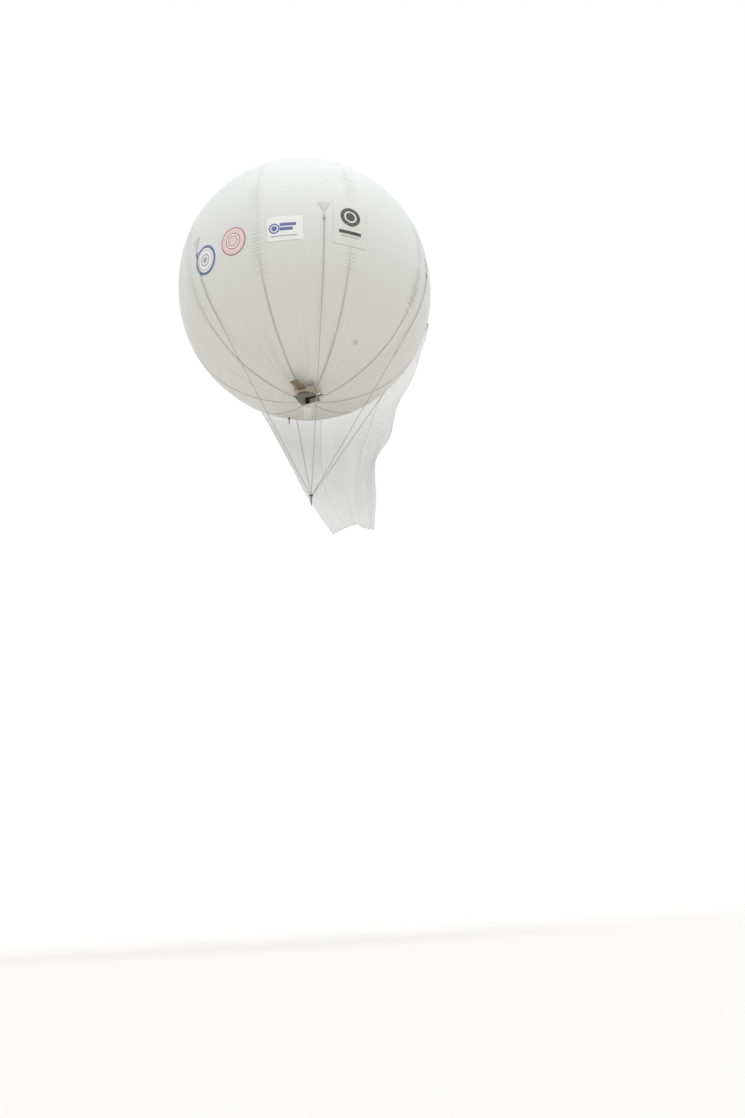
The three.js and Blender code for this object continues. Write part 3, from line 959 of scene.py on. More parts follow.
@dataclass(frozen=True)
class EmblemFinish(EnvelopeFinish):
    """A printed ground with its plain marks, slightly worn."""

    roughness: float = 0.43
    crease_dirt_and_shade: float = 0.25
    marks: tuple[Mark, ...] = ()

    def dress(self, paint: Paint) -> None:
        """Adds the marks over the ground's own tone, thinned where the fabric is dusty.

        Args:
            paint: The material's nodes.
        """
        super().dress(paint)
        colour = paint.colour()
        x, y, _ = paint.at("UV").split()
        cover = paint.grime(6.0, 60.0)["Mottle"].ramp(0.0, 1.0, 1.0, 0.86)
        for mark in self.marks:
            colour = paint.mix(mark.mask(x, y) * cover, colour, mark.colour)
        paint.set("Base Color", colour)


@dataclass(frozen=True)
class SkirtFinish(EnvelopeFinish):
    """Thin skirt fabric that is more see-through near its hem, so that the white behind paints light over the
    envelope's shade there.
    """

    top_alpha: float = 0.20
    fade: tuple[float, float] = (0.6, 2.5)

    def dress(self, paint: Paint) -> None:
        """Adds the change of cover with the distance from the hem, thinner near the hem as painted light."""
        super().dress(paint)
        # Painted light: lower alpha near the hem lets the white behind lighten the envelope's shade.
        paint.set("Alpha", paint.at("UV").split()[1].ramp(*self.fade, self.top_alpha, self.alpha))


@dataclass(frozen=True)
class WebbingFinish(Finish):
    """Woven tape or webbing, with a rib across it and a worn tone."""

    pitch: float = 0.0022
    depth: float = 0.0002

    def dress(self, paint: Paint) -> None:
        """Adds ribs along the UV map and a worn tone.

        Args:
            paint: The material's nodes.
        """
        self.tint(paint, paint.grime(5.0, 90.0), 0.8, 0.2)
        u, v, _ = paint.at("UV").split()
        ribs = (v * (math.tau / self.pitch)).do("SINE")
        warp = (u * (math.tau / (self.pitch * 0.8))).do("SINE")
        paint.bump(ribs * warp, self.depth)


@dataclass(frozen=True)
class LoadTapeFinish(WebbingFinish):
    """Seam tape that is as pale as the fabric above, and grey-beige towards the lower pole."""

    pale: Colour = (0.672, 0.685, 0.683)
    fade: tuple[float, float] = (-1.6, 0.1)

    def dress(self, paint: Paint) -> None:
        """Adds the webbing's ribs, and the change of tone along the meridian.

        Args:
            paint: The material's nodes.
        """
        super().dress(paint)
        share = paint.at("UV").split()[1].ramp(*self.fade)
        paint.set("Base Color", paint.mix(share, paint.colour(), self.pale))


@dataclass(frozen=True)
class FloorFinish(Finish):
    """A pale floor that turns white far from the object, so that it meets the sky softly."""

    far: Colour = (0.72, 0.72, 0.71)
    near_radius: float = 2.0
    far_radius: float = 40.0

    def dress(self, paint: Paint) -> None:
        """Adds the change of tone with distance from the object.

        Args:
            paint: The material's nodes.
        """
        x, y, _ = paint.at("Object").split()
        share = (x * x + y * y).do("SQRT").ramp(self.near_radius, self.far_radius)
        paint.set("Base Color", paint.mix(share, self.colour, self.far))


@dataclass(frozen=True)
class BraidFinish(Finish):
    """Braided rope: two sets of strands that cross round it."""

    pitch: float = 0.009
    depth: float = 0.0006

    def dress(self, paint: Paint) -> None:
        """Adds the braid on the UV map, with painted shade between the strands.

        Args:
            paint: The material's nodes.
        """
        u, v, _ = paint.at("UV").split()
        along, round_it = v / self.pitch, u * (4 / math.tau)
        left = ((along + round_it) * math.tau).do("SINE")
        height = left.do("MAXIMUM", ((along - round_it) * math.tau).do("SINE"))
        # Painted shade: the low places between the strands are darkened.
        gaps = height.ramp(-0.3, 0.5, 1.0, 0.0)
        paint.set("Base Color", paint.mix(gaps, self.colour, self.shaded(0.7)))
        paint.bump(height, self.depth)


@dataclass(frozen=True)
class MetalFinish(Finish):
    """Dull steel with fine brushing and a worn tone."""

    brushing: tuple[float, float, float] = (4.0, 4.0, 60.0)

    def dress(self, paint: Paint) -> None:
        """Adds brushing and uneven gloss.

        Args:
            paint: The material's nodes.
        """
        self.tint(paint, paint.grime(25.0, 260.0), 0.7, 0.45)
        brushed = paint.add("ShaderNodeMapping", {"Vector": paint.at("Object"), "Scale": self.brushing})
        paint.bump(brushed.noise(40.0, 3.0), 0.0001)


@dataclass(frozen=True)
class WoodFinish(Finish):
    """Weathered board with grain along its length."""

    turn: float = 0.0
    stretch: tuple[float, float, float] = (9.0, 0.9, 9.0)
    dark: Colour = (0.14, 0.10, 0.065)

    def dress(self, paint: Paint) -> None:
        """Adds grain lines, pores and weathering.

        Args:
            paint: The material's nodes.
        """
        inputs = {"Vector": paint.at("Object"), "Rotation": (0, 0, math.radians(self.turn)), "Scale": self.stretch}
        lines = paint.add("ShaderNodeMapping", inputs).noise(9.0, 5.0, 0.65)
        mask = (lines * 46.0).do("SINE").ramp(-0.4, 0.9) * lines.ramp(0.3, 0.75)
        paint.set("Base Color", paint.mix(mask, self.colour, self.dark))
        paint.set("Roughness", mask.ramp(0.0, 1.0, self.roughness, 0.9))
        paint.bump(mask, 0.0004)


DECAL_WHITE: Colour = (0.75, 0.75, 0.745)
DECAL_CREAM: Colour = (0.635, 0.635, 0.605)
ENVELOPE = EnvelopeFinish(
    "Envelope fabric", (0.672, 0.685, 0.686), 0.5, specular=0.3, low_shade=0.5, crease_dirt_and_shade=0.35, gathered=0.008
)
TAPE = LoadTapeFinish("Load tape", (0.46, 0.45, 0.395), 0.65, depth=0.00012)
PATCH = EnvelopeFinish("Patch fabric", (0.61, 0.605, 0.555), 0.55)
FAN = EnvelopeFinish("Load patch fabric", (0.53, 0.535, 0.52), 0.55)
SLEEVE = EnvelopeFinish("Filling sleeve fabric", (0.15, 0.15, 0.135), 0.6)
STRIP = EnvelopeFinish("Cable sleeve fabric", (0.75, 0.715, 0.64), 0.6)
MENDED = EnvelopeFinish("Mending patch", (0.46, 0.45, 0.41), 0.6)
SKIRT = SkirtFinish("Skirt fabric", (0.71, 0.715, 0.70), 0.6, sheen=0.15, alpha=0.48, shade=0.94)
SKIRT_HEM = EnvelopeFinish("Skirt hem", (0.72, 0.725, 0.71), 0.6, sheen=0.15, alpha=0.1, shade=0.96)
SKIRT_THREAD = Finish("Skirt thread", (0.72, 0.72, 0.70), 0.7, alpha=0.3)
LEG = WebbingFinish("Pale webbing", (0.64, 0.64, 0.61), 0.7, depth=0.00012)
JUNCTION = Finish("Junction cover", (0.35, 0.33, 0.25), 0.6)
COLLAR = Finish("Filling collar", (0.10, 0.10, 0.09), 0.5)
ROPE = BraidFinish("Braided rope", (0.41, 0.405, 0.37), 0.75)
WHIPPING = WebbingFinish("Rope whipping", (0.30, 0.295, 0.27), 0.6, pitch=0.0014)
LINK = Finish("Link plastic", (0.33, 0.27, 0.245), 0.5)
STEEL = MetalFinish("Dull steel", (0.15, 0.15, 0.145), 0.42, metallic=0.9)
BRIGHT = MetalFinish("Bright steel", (0.26, 0.26, 0.25), 0.32, metallic=0.95)
WEBBING = WebbingFinish("Beige webbing", (0.50, 0.475, 0.41), 0.75)
STRAP = WebbingFinish("Strap webbing", (0.42, 0.395, 0.33), 0.75)
HANDLE = WebbingFinish("Brown webbing", (0.13, 0.088, 0.055), 0.75)
TRAY = MetalFinish("Painted tray", (0.54, 0.51, 0.42), 0.5, metallic=0.05)
COVER = Finish("Beige cover", (0.52, 0.445, 0.34), 0.6)
HOUSING = Finish("Housing plastic", (0.195, 0.19, 0.148), 0.55, specular=0.3)
RIBS = Finish("Housing ribs", (0.085, 0.082, 0.064), 0.55, specular=0.3)
BOARD = WoodFinish("Weathered board", (0.22, 0.168, 0.105), 0.72, turn=25.0)
BLACK = Finish("Black plastic", (0.007, 0.0078, 0.005), 0.55, specular=0.06)
AERIAL = Finish("Aerial sleeve", (0.010, 0.010, 0.006), 0.55, specular=0.06)
WHITE = Finish("White plastic", (0.68, 0.67, 0.62), 0.38)
GLASS = Finish("Lens glass", (0.012, 0.014, 0.022), 0.06, coat=1.0, specular=0.8)
FLOOR = FloorFinish("Studio floor", (0.695, 0.69, 0.665), 0.95, specular=0.1)


# Geometry trees


def relief_group() -> Tree:
    """Height of the envelope's surface: bulging gores, sunk seams and the puckers along them."""
    sockets = {"Direction": SocketKind.VECTOR, "Pucker": 0.0072, "Groove": 0.005, "Bulge": 0.010, "Swell": 0.005}
    sockets |= {"Slack seam": 1.0, "Slack latitude": -22.0}
    group = Group("Envelope relief", TreeKind.GEOMETRY, sockets)
    x, y, z = group["Direction"].split()
    turn = (x.do("ARCTAN2", -y).do("DEGREES") - GORE_ANGLE / 2) / GORE_ANGLE
    seam = turn.do("ROUND")
    offset = (turn - seam).do("ABSOLUTE")
    number = seam.do("FLOORED_MODULO", float(GORES))
    latitude = z.do("ARCSINE")
    degrees, flat, along = latitude.do("DEGREES"), latitude.do("COSINE"), latitude * ENVELOPE_RADIUS
    distance = offset * (math.radians(GORE_ANGLE) * ENVELOPE_RADIUS) * flat
    where = group.combine(number * 13.7, along)
    slack = (number - group["Slack seam"]).bell(0.3) * (degrees - group["Slack latitude"]).bell(12.0) * 2.4
    cluster = where.noise(2.3, 1.0).ramp(0.40, 0.56, 0.5, 1.0).do("MAXIMUM", slack)
    window = degrees.ramp(-40.0, -32.0) * degrees.ramp(16.0, 32.0, 1.0, 0.0)
    phase = along / 0.05 + where.noise(7.0, 1.0) * 3.0
    wave = (phase * math.pi).do("SINE").do("ABSOLUTE")
    strength = cluster * window * distance.bell(0.098)
    pucker = strength * (wave - 0.6) * group["Pucker"]
    swell = (group["Direction"].noise(1.7) - 0.5) * group["Swell"]
    groove = distance.bell(0.03) * group["Groove"]
    share = offset * 2.0
    bulge = share * share * group["Bulge"]
    height = (pucker + swell - (groove + bulge)) * flat
    # The crease mask marks the puckers' troughs, which the finishes darken with painted shade and stains.
    return group.give(Height=height, Crease=strength * group.math("SUBTRACT", 1.0, wave).do("POWER", 1.5))


def meridian_tree(relief: Tree) -> Tree:
    """Tree that makes a strip of the envelope along a meridian, a gore or a tape.

    Args:
        relief: The group that gives the surface's height.

    Returns:
        The geometry tree.
    """
    sockets = {"Columns": 20, "Rows": 300, "Azimuth": 0.0, "Half angle": 20.0, "Half width": 0.0, "Lift": 0.0}
    group = Grower("Meridian surface", sockets)
    grid = group.add("GeometryNodeMeshGrid", {0: 2.0, 1: 2.0, 2: group["Columns"], 3: group["Rows"]})
    x, y, _ = group.add("GeometryNodeInputPosition").split()
    steep = y.do("SIGN").do("MULTIPLY_ADD", 8.0, 41.99)
    latitude = y.do("MULTIPLY_ADD", 48.0, (y * y * y).do("MULTIPLY_ADD", steep, -8.0)).do("RADIANS")
    flat = latitude.do("COSINE")
    radius = flat * ENVELOPE_RADIUS
    half = group["Half angle"].do("RADIANS") + group["Half width"] / radius
    swing = (x * (math.pi / 2)).do("SINE") * half
    azimuth = group["Azimuth"].do("RADIANS") + swing
    sideways, forward = azimuth.do("SINE") * flat, azimuth.do("COSINE") * flat
    direction = group.combine(sideways, -forward, latitude.do("SINE"))
    uv = group.combine(swing * radius, latitude * ENVELOPE_RADIUS)
    return group.on_envelope(relief, grid, direction, 0.0, uv)


def laying_tree(relief: Tree) -> Tree:
    """Tree that lays a flat mesh on the envelope, with its size kept along every line from its middle.

    Args:
        relief: The group that gives the surface's height.

    Returns:
        The geometry tree.
    """
    group = Grower("Lay on envelope", {"Azimuth": 0.0, "Latitude": 0.0, "Lift": 0.001})
    flat = group.add("GeometryNodeInputPosition")
    x, y, z = flat.split()
    distance = (x * x + y * y).do("SQRT").do("MAXIMUM", 1e-6)
    angle = distance / ENVELOPE_RADIUS
    share = angle.do("SINE") / distance
    local = group.combine(x * share, -angle.do("COSINE"), y * share)
    raised = group.turned(local, -group["Latitude"].do("RADIANS"), "X")
    direction = group.turned(raised, group["Azimuth"].do("RADIANS"), "Z")
    return group.on_envelope(relief, group["Geometry"], direction, z, flat)


def stitch_tree() -> Tree:
    """Tree that turns a line of edges into a row of short raised stitches."""
    group = Grower("Stitch row", {"Pitch": 0.008, "Length": 0.005, "Thickness": 0.0009})
    size = {"Vertices": 5, "Radius": group["Thickness"] / 2.0, "Depth": group["Length"]}
    return group.threaded(group.add("GeometryNodeMeshCylinder", size))


def fastener_tree() -> Tree:
    """Tree that puts a domed screw head on each point, with its axis along one direction."""
    group = Grower("Fasteners", {"Direction": SocketKind.VECTOR, "Radius": 0.004, "Height": 0.0018})
    heads = group.add("GeometryNodeJoinGeometry")
    for share, rise in ((1.0, 1.0), (0.78, 1.5), (0.3, 0.9)):
        size = {"Vertices": 12, "Radius": group["Radius"] * share, "Depth": group["Height"] * (rise * 2)}
        group.feed(heads.socket.node.inputs[0], group.add("GeometryNodeMeshCylinder", size))
    return group.copies(group["Geometry"], heads, group.aligned(group["Direction"]))


def ring_tree() -> Tree:
    """Tree that threads rings on a line at even steps."""
    group = Grower("Threaded rings", {"Pitch": 0.05, "Radius": 0.012, "Wire": 0.001})
    circle, wire = (
        group.add("GeometryNodeCurvePrimitiveCircle", {"Resolution": steps, "Radius": group[size]})
        for size, steps in (("Radius", 14), ("Wire", 6))
    )
    return group.threaded(group.add("GeometryNodeCurveToMesh", {"Curve": circle, "Profile Curve": wire}))


def rib_tree() -> Tree:
    """Tree that repeats a bar at even steps."""
    group = Grower("Ribs", {"Count": 5, **dict.fromkeys(("Start", "Step", "Size", "Turn"), SocketKind.VECTOR)})
    steps = {"Count": group["Count"], "Start Location": group["Start"], "Offset": group["Step"]}
    bar = group.add("GeometryNodeMeshCube", {"Size": group["Size"]})
    return group.copies(group.add("GeometryNodeMeshLine", steps), bar, group["Turn"])


@dataclass
class Trees:
    """The geometry trees, each built once."""

    relief: Tree = field(default_factory=relief_group)

    def __post_init__(self) -> None:
        """Builds the trees that read the relief, and the others."""
        self.meridian = meridian_tree(self.relief)
        self.laying = laying_tree(self.relief)
        self.stitch = stitch_tree()
        self.fastener = fastener_tree()
        self.rib = rib_tree()
        self.ring = ring_tree()


TREES = Trees()


def laid(
    flat: Thing, azimuth: float, latitude: float, lift: float, finish: Finish, wall: float = 0.0008
) -> Thing:
    """Lays a flat mesh on the envelope as a thin closed sheet.

    Args:
        flat: The flat mesh, about its own middle.
        azimuth: Azimuth of its middle.
        latitude: Latitude of its middle.
        lift: Height of its outer face above the envelope's own.
        finish: Its finish.
        wall: Its thickness, which grows inwards.

    Returns:
        The laid object.
    """
    values = {"Azimuth": azimuth, "Latitude": latitude, "Lift": lift}
    return grown(flat, TREES.laying, finish, values, wall)


# Sub-assemblies


@dataclass(frozen=True)
class Emblem:
    """A generic printed place on the envelope, whose plain marks are in its finish."""

    name: str
    azimuth: float
    latitude: float
    outline: Outline
    finish: EmblemFinish


@dataclass
class Envelope:
    """Nine gores, their load tapes, the pole patches and the printed places."""

    wall: float = 0.003
    gore_columns: int = 24
    gore_rows: int = 481
    seam_gap: float = 0.0001
    tape_columns: int = 5
    tape_width: float = 0.026
    tape_lift: float = 0.0026
    tape_wall: float = 0.001
    crown_radius: float = 0.40
    base_radius: float = 0.56
    pole_layers: tuple[tuple[float, float], ...] = ((1.0, 0.0008), (0.72, 0.0016))
    cap_radius: float = 0.13
    cap_lift: float = 0.0045
    emblem_lift: float = 0.0038
    flat_width: float = 1.396
    flat_length: float = 6.283
    flat_area: float = 5.585

    def build(self) -> None:
        """Builds and dresses every piece."""
        for i in range(GORES):
            self.gore(i)
            self.tape(i)
        self.pole_patch("crown_patch", 90.0, self.crown_radius)
        self.pole_patch("base_patch", -90.0, self.base_radius)
        for emblem in self.emblems():
            self.print_emblem(emblem)
        self.rear_strip()
        self.mending_patch()

    def strip(self, name: str, finish: Finish, wall: float, **values: float) -> Thing:
        """A closed strip along a meridian, with the tree's inputs by name and _ for a blank."""
        inputs = {"Rows": self.gore_rows, **{key.replace("_", " "): value for key, value in values.items()}}
        base = thing_from(name, bpy.data.meshes.new(name))
        return grown(base, TREES.meridian, finish, inputs, wall)

    def gore(self, index: int) -> None:
        """One gore as a closed sheet of fabric."""
        name = f"gore_{index + 1}"
        half = {"Half_angle": GORE_ANGLE / 2, "Half_width": -self.seam_gap}
        sizes = {"Columns": self.gore_columns, "Azimuth": index * GORE_ANGLE, **half}
        piece = self.strip(f"{name}_fabric", ENVELOPE, self.wall, **sizes)
        keep(piece, Slot.ENVELOPE, name)

    def tape(self, index: int) -> None:
        """The load tape over one seam."""
        name = f"load_tape_{index + 1}"
        half = {"Half_angle": 0.0, "Half_width": self.tape_width / 2, "Lift": self.tape_lift}
        sizes = {"Columns": self.tape_columns, "Azimuth": (index + 0.5) * GORE_ANGLE, **half}
        keep(self.strip(f"{name}_webbing", TAPE, self.tape_wall, **sizes), Slot.TAPE, name)

    def pole_patch(self, node: str, latitude: float, radius: float) -> None:
        """A round patch over one pole: two layers under the tapes, and a cap over their ends.

        Args:
            node: The CAD node that it stands for.
            latitude: 90 for the crown, -90 for the base.
            radius: Its radius.
        """
        rounds = [(radius * share, lift) for share, lift in self.pole_layers] + [(self.cap_radius, self.cap_lift)]
        flats = [(polar_mesh(f"{node}_layer", circle_outline(size, 144), 24), lift) for size, lift in rounds]
        layers = [laid(flat, 0.0, latitude, lift, PATCH) for flat, lift in flats]
        keep(joined(f"{node}_fabric", layers, PATCH), Slot.PATCH, node)

    @staticmethod
    def emblems() -> list[Emblem]:
        """The four printed places, with plain marks in them."""
        blue, red, pink = (0.06, 0.10, 0.27), (0.34, 0.08, 0.09), (0.68, 0.51, 0.50)
        grey, dark, pale = (0.32, 0.31, 0.28), (0.02, 0.02, 0.023), (0.72, 0.72, 0.71)
        left = (
            Mark(blue, width=0.216, inner=0.176), Mark(pale, width=0.171, inner=0.162),
            Mark(blue, width=0.150, inner=0.143), Mark(grey, width=0.092, inner=0.070), Mark(grey, width=0.045),
        )
        second = (
            Mark(pink, width=0.192, inner=0.118), Mark(red, width=0.206, inner=0.190),
            Mark(red, width=0.120, inner=0.106), Mark(pink, width=0.078), Mark(red, width=0.082, inner=0.071),
        )
        wide = (
            Mark(blue, (-0.150, 0.005), 0.078, inner=0.056), Mark(blue, (-0.150, 0.005), 0.040),
            Mark(blue, (0.045, 0.055), 0.115, 0.024), Mark(blue, (0.020, -0.010), 0.090, 0.024),
            Mark(grey, (-0.020, -0.112), 0.190, 0.008),
        )
        square = (
            Mark(dark, (0.0, 0.105), 0.148), Mark(pale, (0.0, 0.105), 0.092, inner=0.070),
            Mark(dark, (0.0, -0.145), 0.165, 0.026), Mark(grey, (0.0, -0.205), 0.140, 0.008),
        )
        places = (
            ("left_round", -47.1, -12.7, circle_outline(0.218, 120), "Blue ring print", DECAL_WHITE, left),
            ("second_round", -30.7, -11.9, circle_outline(0.206, 120), "Red ring print", DECAL_WHITE, second),
            ("wide", -7.75, -11.9, rounded_outline(0.515, 0.36, 0.02), "Blue bar print", DECAL_WHITE, wide),
            ("square", 19.2, -8.0, rounded_outline(0.505, 0.68, 0.015), "Dark disc print", DECAL_CREAM, square),
        )
        return [
            Emblem(name, azimuth, latitude, outline, EmblemFinish(label, ground, marks=marks))
            for name, azimuth, latitude, outline, label, ground, marks in places
        ]

    def print_emblem(self, emblem: Emblem) -> None:
        """Lays an emblem on the envelope, as thick as it stands above it."""
        flat = polar_mesh(f"emblem_{emblem.name}", emblem.outline, 26)
        lift, wall = self.emblem_lift, self.emblem_lift - 0.0004
        keep(laid(flat, emblem.azimuth, emblem.latitude, lift, emblem.finish, wall), Slot.ENVELOPE)

    @staticmethod
    def rear_strip() -> None:
        """The pale sleeve that runs up the rear seam from the base, over the patch's layers."""
        flat = polar_mesh("base_strip_fabric", rounded_outline(0.116, 0.66, 0.010), 10)
        flat.data.transform(stand((0.022, 0, 0)))
        keep(laid(flat, 180.0, -76.0, 0.0042, STRIP), Slot.PATCH)

    @staticmethod
    def mending_patch() -> None:
        """A small round mending patch on the front."""
        flat = polar_mesh("mending_patch_fabric", circle_outline(0.035, 48), 6)
        keep(laid(flat, 36.5, -53.8, 0.0022, MENDED), Slot.PATCH)


@dataclass
class Bridle:
    """Load patches, rings and lines, down to the plate, the swivel and the shackle."""

    stand_off: float = 0.014
    ring_latitude: float = -7.9
    ring_radius: float = 0.018
    ring_wire: float = 0.0035
    rope_radius: float = 0.005
    whip_radius: float = 0.006
    rope_ends: tuple[tuple[float, float], ...] = ((0.010, 0.034), (0.090, 0.108))
    link_span: tuple[float, float] = (1.30, 1.385)
    plate_top: float = -3.580
    plate_radius: float = 0.030
    plate_thickness: float = 0.010
    rope_circle: float = 0.019
    joint_gap: float = 0.0003
    head_length: float = 0.042
    shank_length: float = 0.034
    eye_hole: float = 0.0054
    shackle_drop: float = 0.1106
    patch_width: float = 0.180
    patch_height: float = 0.150
    patch_tip: float = 0.024
    patch_crown: float = 0.030
    patch_layers: tuple[tuple[float, float], ...] = ((1.0, 0.0030), (0.78, 0.0040))
    leg_slants: tuple[float, ...] = (-24.0, 0.0, 24.0)
    leg_width: float = 0.016
    leg_length: float = 0.100

    def build(self) -> None:
        """Builds and dresses every piece."""
        for name, azimuth in BRIDLE_AZIMUTHS.items():
            self.load_patch(name, azimuth)
            self.ring(name, azimuth)
            self.line(name, azimuth)
        self.plate()
        self.swivel()
        self.shackle()

    def fan(self) -> list[tuple[float, float]]:
        """Outline of a load patch about its middle."""
        w, h, t, c = self.patch_width / 2, self.patch_height, self.patch_tip / 2, self.patch_crown
        shares = [i / 12 for i in range(13)]
        points = [(t + (w - t) * s, -h + h * s) for s in shares]
        points += [(w * (1 - 2 * s), 2 * s * (1 - s) * c) for s in (i / 16 for i in range(1, 16))]
        points += [(-w + (w - t) * s, -h * s) for s in shares]
        return [(x, y + h * 0.42) for x, y in points]

    def load_patch(self, name: str, azimuth: float) -> None:
        """A fan of doubled fabric, with the webbing that runs from its tip to the ring.

        Args:
            name: The line's name.
            azimuth: Its azimuth.
        """
        patch = f"load_patch_{name}"

        def fall(distance: float) -> float:
            """Latitude at a distance down from the equator."""
            return -math.degrees(distance / ENVELOPE_RADIUS)

        layers = []
        for share, lift in self.patch_layers:
            flat = polar_mesh(f"{patch}_layer", [(x * share, y * share) for x, y in self.fan()], 12)
            layers.append(laid(flat, azimuth, fall(self.patch_height * 0.42), lift, FAN))
        keep(joined(f"{patch}_fabric", layers, FAN), Slot.PATCH, patch)
        legs = []
        for slant in self.leg_slants:
            flat = polar_mesh(f"{patch}_leg", rounded_outline(0.010, self.leg_length, 0.003), 3)
            flat.data.transform(Matrix.Translation((0, self.leg_length / 2, 0)))
            flat.data.transform(Matrix.Rotation(math.radians(slant), 4, "Z"))
            legs.append(laid(flat, azimuth, fall(self.patch_height - 0.012), 0.0054, LEG, 0.0012))
        flat = polar_mesh(f"{patch}_leg", rounded_outline(self.leg_width, self.leg_length, 0.004), 4)
        low = fall(self.patch_height + self.leg_length / 2 - 0.014)
        legs.append(laid(flat, azimuth, low, 0.0060, LEG, 0.0014))
        keep(joined(f"{patch}_webbing", legs, LEG), Slot.TAPE)

    def ring(self, name: str, azimuth: float) -> None:
        """The ring at a load patch's tip, in a stitched loop of webbing.

        Args:
            name: The line's name.
            azimuth: Its azimuth.
        """
        place = envelope_frame(azimuth, self.ring_latitude, ENVELOPE_RADIUS + self.stand_off)
        circle = arc(Vector(), ACROSS * self.ring_radius, UP, 360, 40)[:-1]
        form = Form(place).tube(circle, self.ring_wire, 12, closed=True)
        form.keep(f"bridle_ring_{name}_steel", STEEL, Slot.STEEL, f"bridle_ring_{name}")
        near, top = self.ring_radius, self.stand_off - 0.0062
        path = side_view([
            (near + 0.052, -top), (near + 0.026, -top + 0.001), (near + 0.010, 0.004), (near, 0.0060),
            (near - 0.0052, 0.0036), (near - 0.0060, 0.0), (near - 0.0052, -0.0036), (near, -0.0060),
            (near + 0.010, -0.0064), (near + 0.026, -top - 0.0006), (near + 0.050, -top - 0.0016),
        ])
        Form(place).ribbon(path, 0.018, 0.0016, UP).keep(f"bridle_ring_{name}_loop", WEBBING, Slot.TAPE)

    def route(self, azimuth: float) -> list[Vector]:
        """Points of one bridle line, from its ring round the envelope and straight on to the plate.

        Args:
            azimuth: The line's azimuth.

        Returns:
            The points.
        """
        radius = ENVELOPE_RADIUS + self.stand_off
        bearing = math.atan2(self.plate_top, self.rope_circle)
        tangent = math.degrees(bearing + math.acos(radius / math.hypot(self.plate_top, self.rope_circle)))
        start = self.ring_latitude - math.degrees((self.ring_radius + self.ring_wire + self.joint_gap) / radius)
        points = [on_sphere(azimuth, start + (tangent - start) * i / 40, radius) for i in range(41)]
        end = on_sphere(azimuth, 0, self.rope_circle)
        end.z = self.plate_top + 0.002
        leave = points[-1]
        return points + [leave.lerp(end, i / 60) for i in range(1, 61)]

    def line(self, name: str, azimuth: float) -> None:
        """One bridle line with its whippings, and the dark link on the right one.

        Args:
            name: The line's name.
            azimuth: Its azimuth.
        """
        rope, route = f"bridle_line_{name}", self.route(azimuth)
        Form().tube(route, self.rope_radius, 10).keep(f"{rope}_rope", ROPE, Slot.ROPE, rope)
        wraps = Form()
        for start, end in self.rope_ends:
            wraps.tube(self.stretch(route, start, end), self.whip_radius, 14)
            wraps.tube(self.stretch(route[::-1], start + 0.02, end + 0.02), self.whip_radius, 14)
        wraps.keep(f"{rope}_whipping", WHIPPING, Slot.ROPE)
        if name == "right":
            start, end = self.link_span
            swell = lambda d: 0.0066 + 0.0026 * math.sin(math.pi * min(1, d / 0.085))
            Form().tube(self.stretch(route, start, end), swell, 16).keep(f"{rope}_link", LINK, Slot.ROPE)

    @staticmethod
    def stretch(route: Path, start: float, end: float, steps: int = 8) -> list[Vector]:
        """Points of a route between two distances from its start.

        Args:
            route: The route.
            start: First distance.
            end: Last distance.
            steps: Number of steps.

        Returns:
            The points.
        """
        lengths = [0.0]
        for before, after in zip(route, route[1:]):
            lengths.append(lengths[-1] + (after - before).length)
        found = []
        for i in range(steps + 1):
            wanted = start + (end - start) * i / steps
            j = max(k for k in range(len(lengths) - 1) if lengths[k] <= wanted)
            found.append(route[j].lerp(route[j + 1], (wanted - lengths[j]) / (lengths[j + 1] - lengths[j])))
        return found

    def plate(self) -> None:
        """The round plate where the lines meet, with a chamfered rim and an eye for each line."""
        top, radius, rim = self.plate_top, self.plate_radius, 0.002
        low = top - self.plate_thickness
        profile = [(radius - rim, low), (radius, low + rim), (radius, top - rim), (radius - rim, top)]
        Form().lathe(profile, 64).keep("bridle_plate_steel", STEEL, Slot.STEEL, "bridle_plate")
        eye = [(0.0082, -0.0005), (0.0082, 0.003), (0.0070, 0.006), (0.0058, 0.010)]
        eyes = Form()
        for azimuth in BRIDLE_AZIMUTHS.values():
            at = on_sphere(azimuth, 0, self.rope_circle)
            eyes.lathe(eye, 24, stand((at.x, at.y, top)))
        eyes.keep("bridle_plate_eyes", BRIGHT, Slot.STEEL)

    def swivel(self) -> None:
        """The swivel's head, and its shank with the eye that the shackle's pin goes through."""
        high = self.plate_top - self.plate_thickness - self.joint_gap
        low = high - self.head_length
        profile = [(0.0135, low), (0.017, low + 0.004), (0.017, low + 0.012), (0.0158, low + 0.0125),
                   (0.0158, low + 0.0155), (0.017, low + 0.016), (0.017, high - 0.010), (0.0135, high - 0.006),
                   (0.0135, high)]
        Form().lathe(profile, 40).keep("swivel_head_steel", BRIGHT, Slot.STEEL, "swivel_head")
        high = low - self.joint_gap
        low = high - self.shank_length
        profile = [(0.012, low), (0.014, low + 0.003), (0.014, high - 0.005), (0.012, high - 0.002), (0.012, high)]
        half, foot = 0.011, 0.005
        outline = [(half, 0.026), (-half, 0.026)]
        outline += [(half * math.cos(a), -foot + half * math.sin(a)) for a in np.linspace(math.pi, math.tau, 17)]
        shank = Form().lathe(profile, 40)
        shank.plate(outline, self.eye_hole, -0.006, 0.006, stand((0, 0, low - 0.024), 90, "X"))
        shank.keep("swivel_shank_steel", BRIGHT, Slot.STEEL, "swivel_shank", body=Body.SWIVEL)

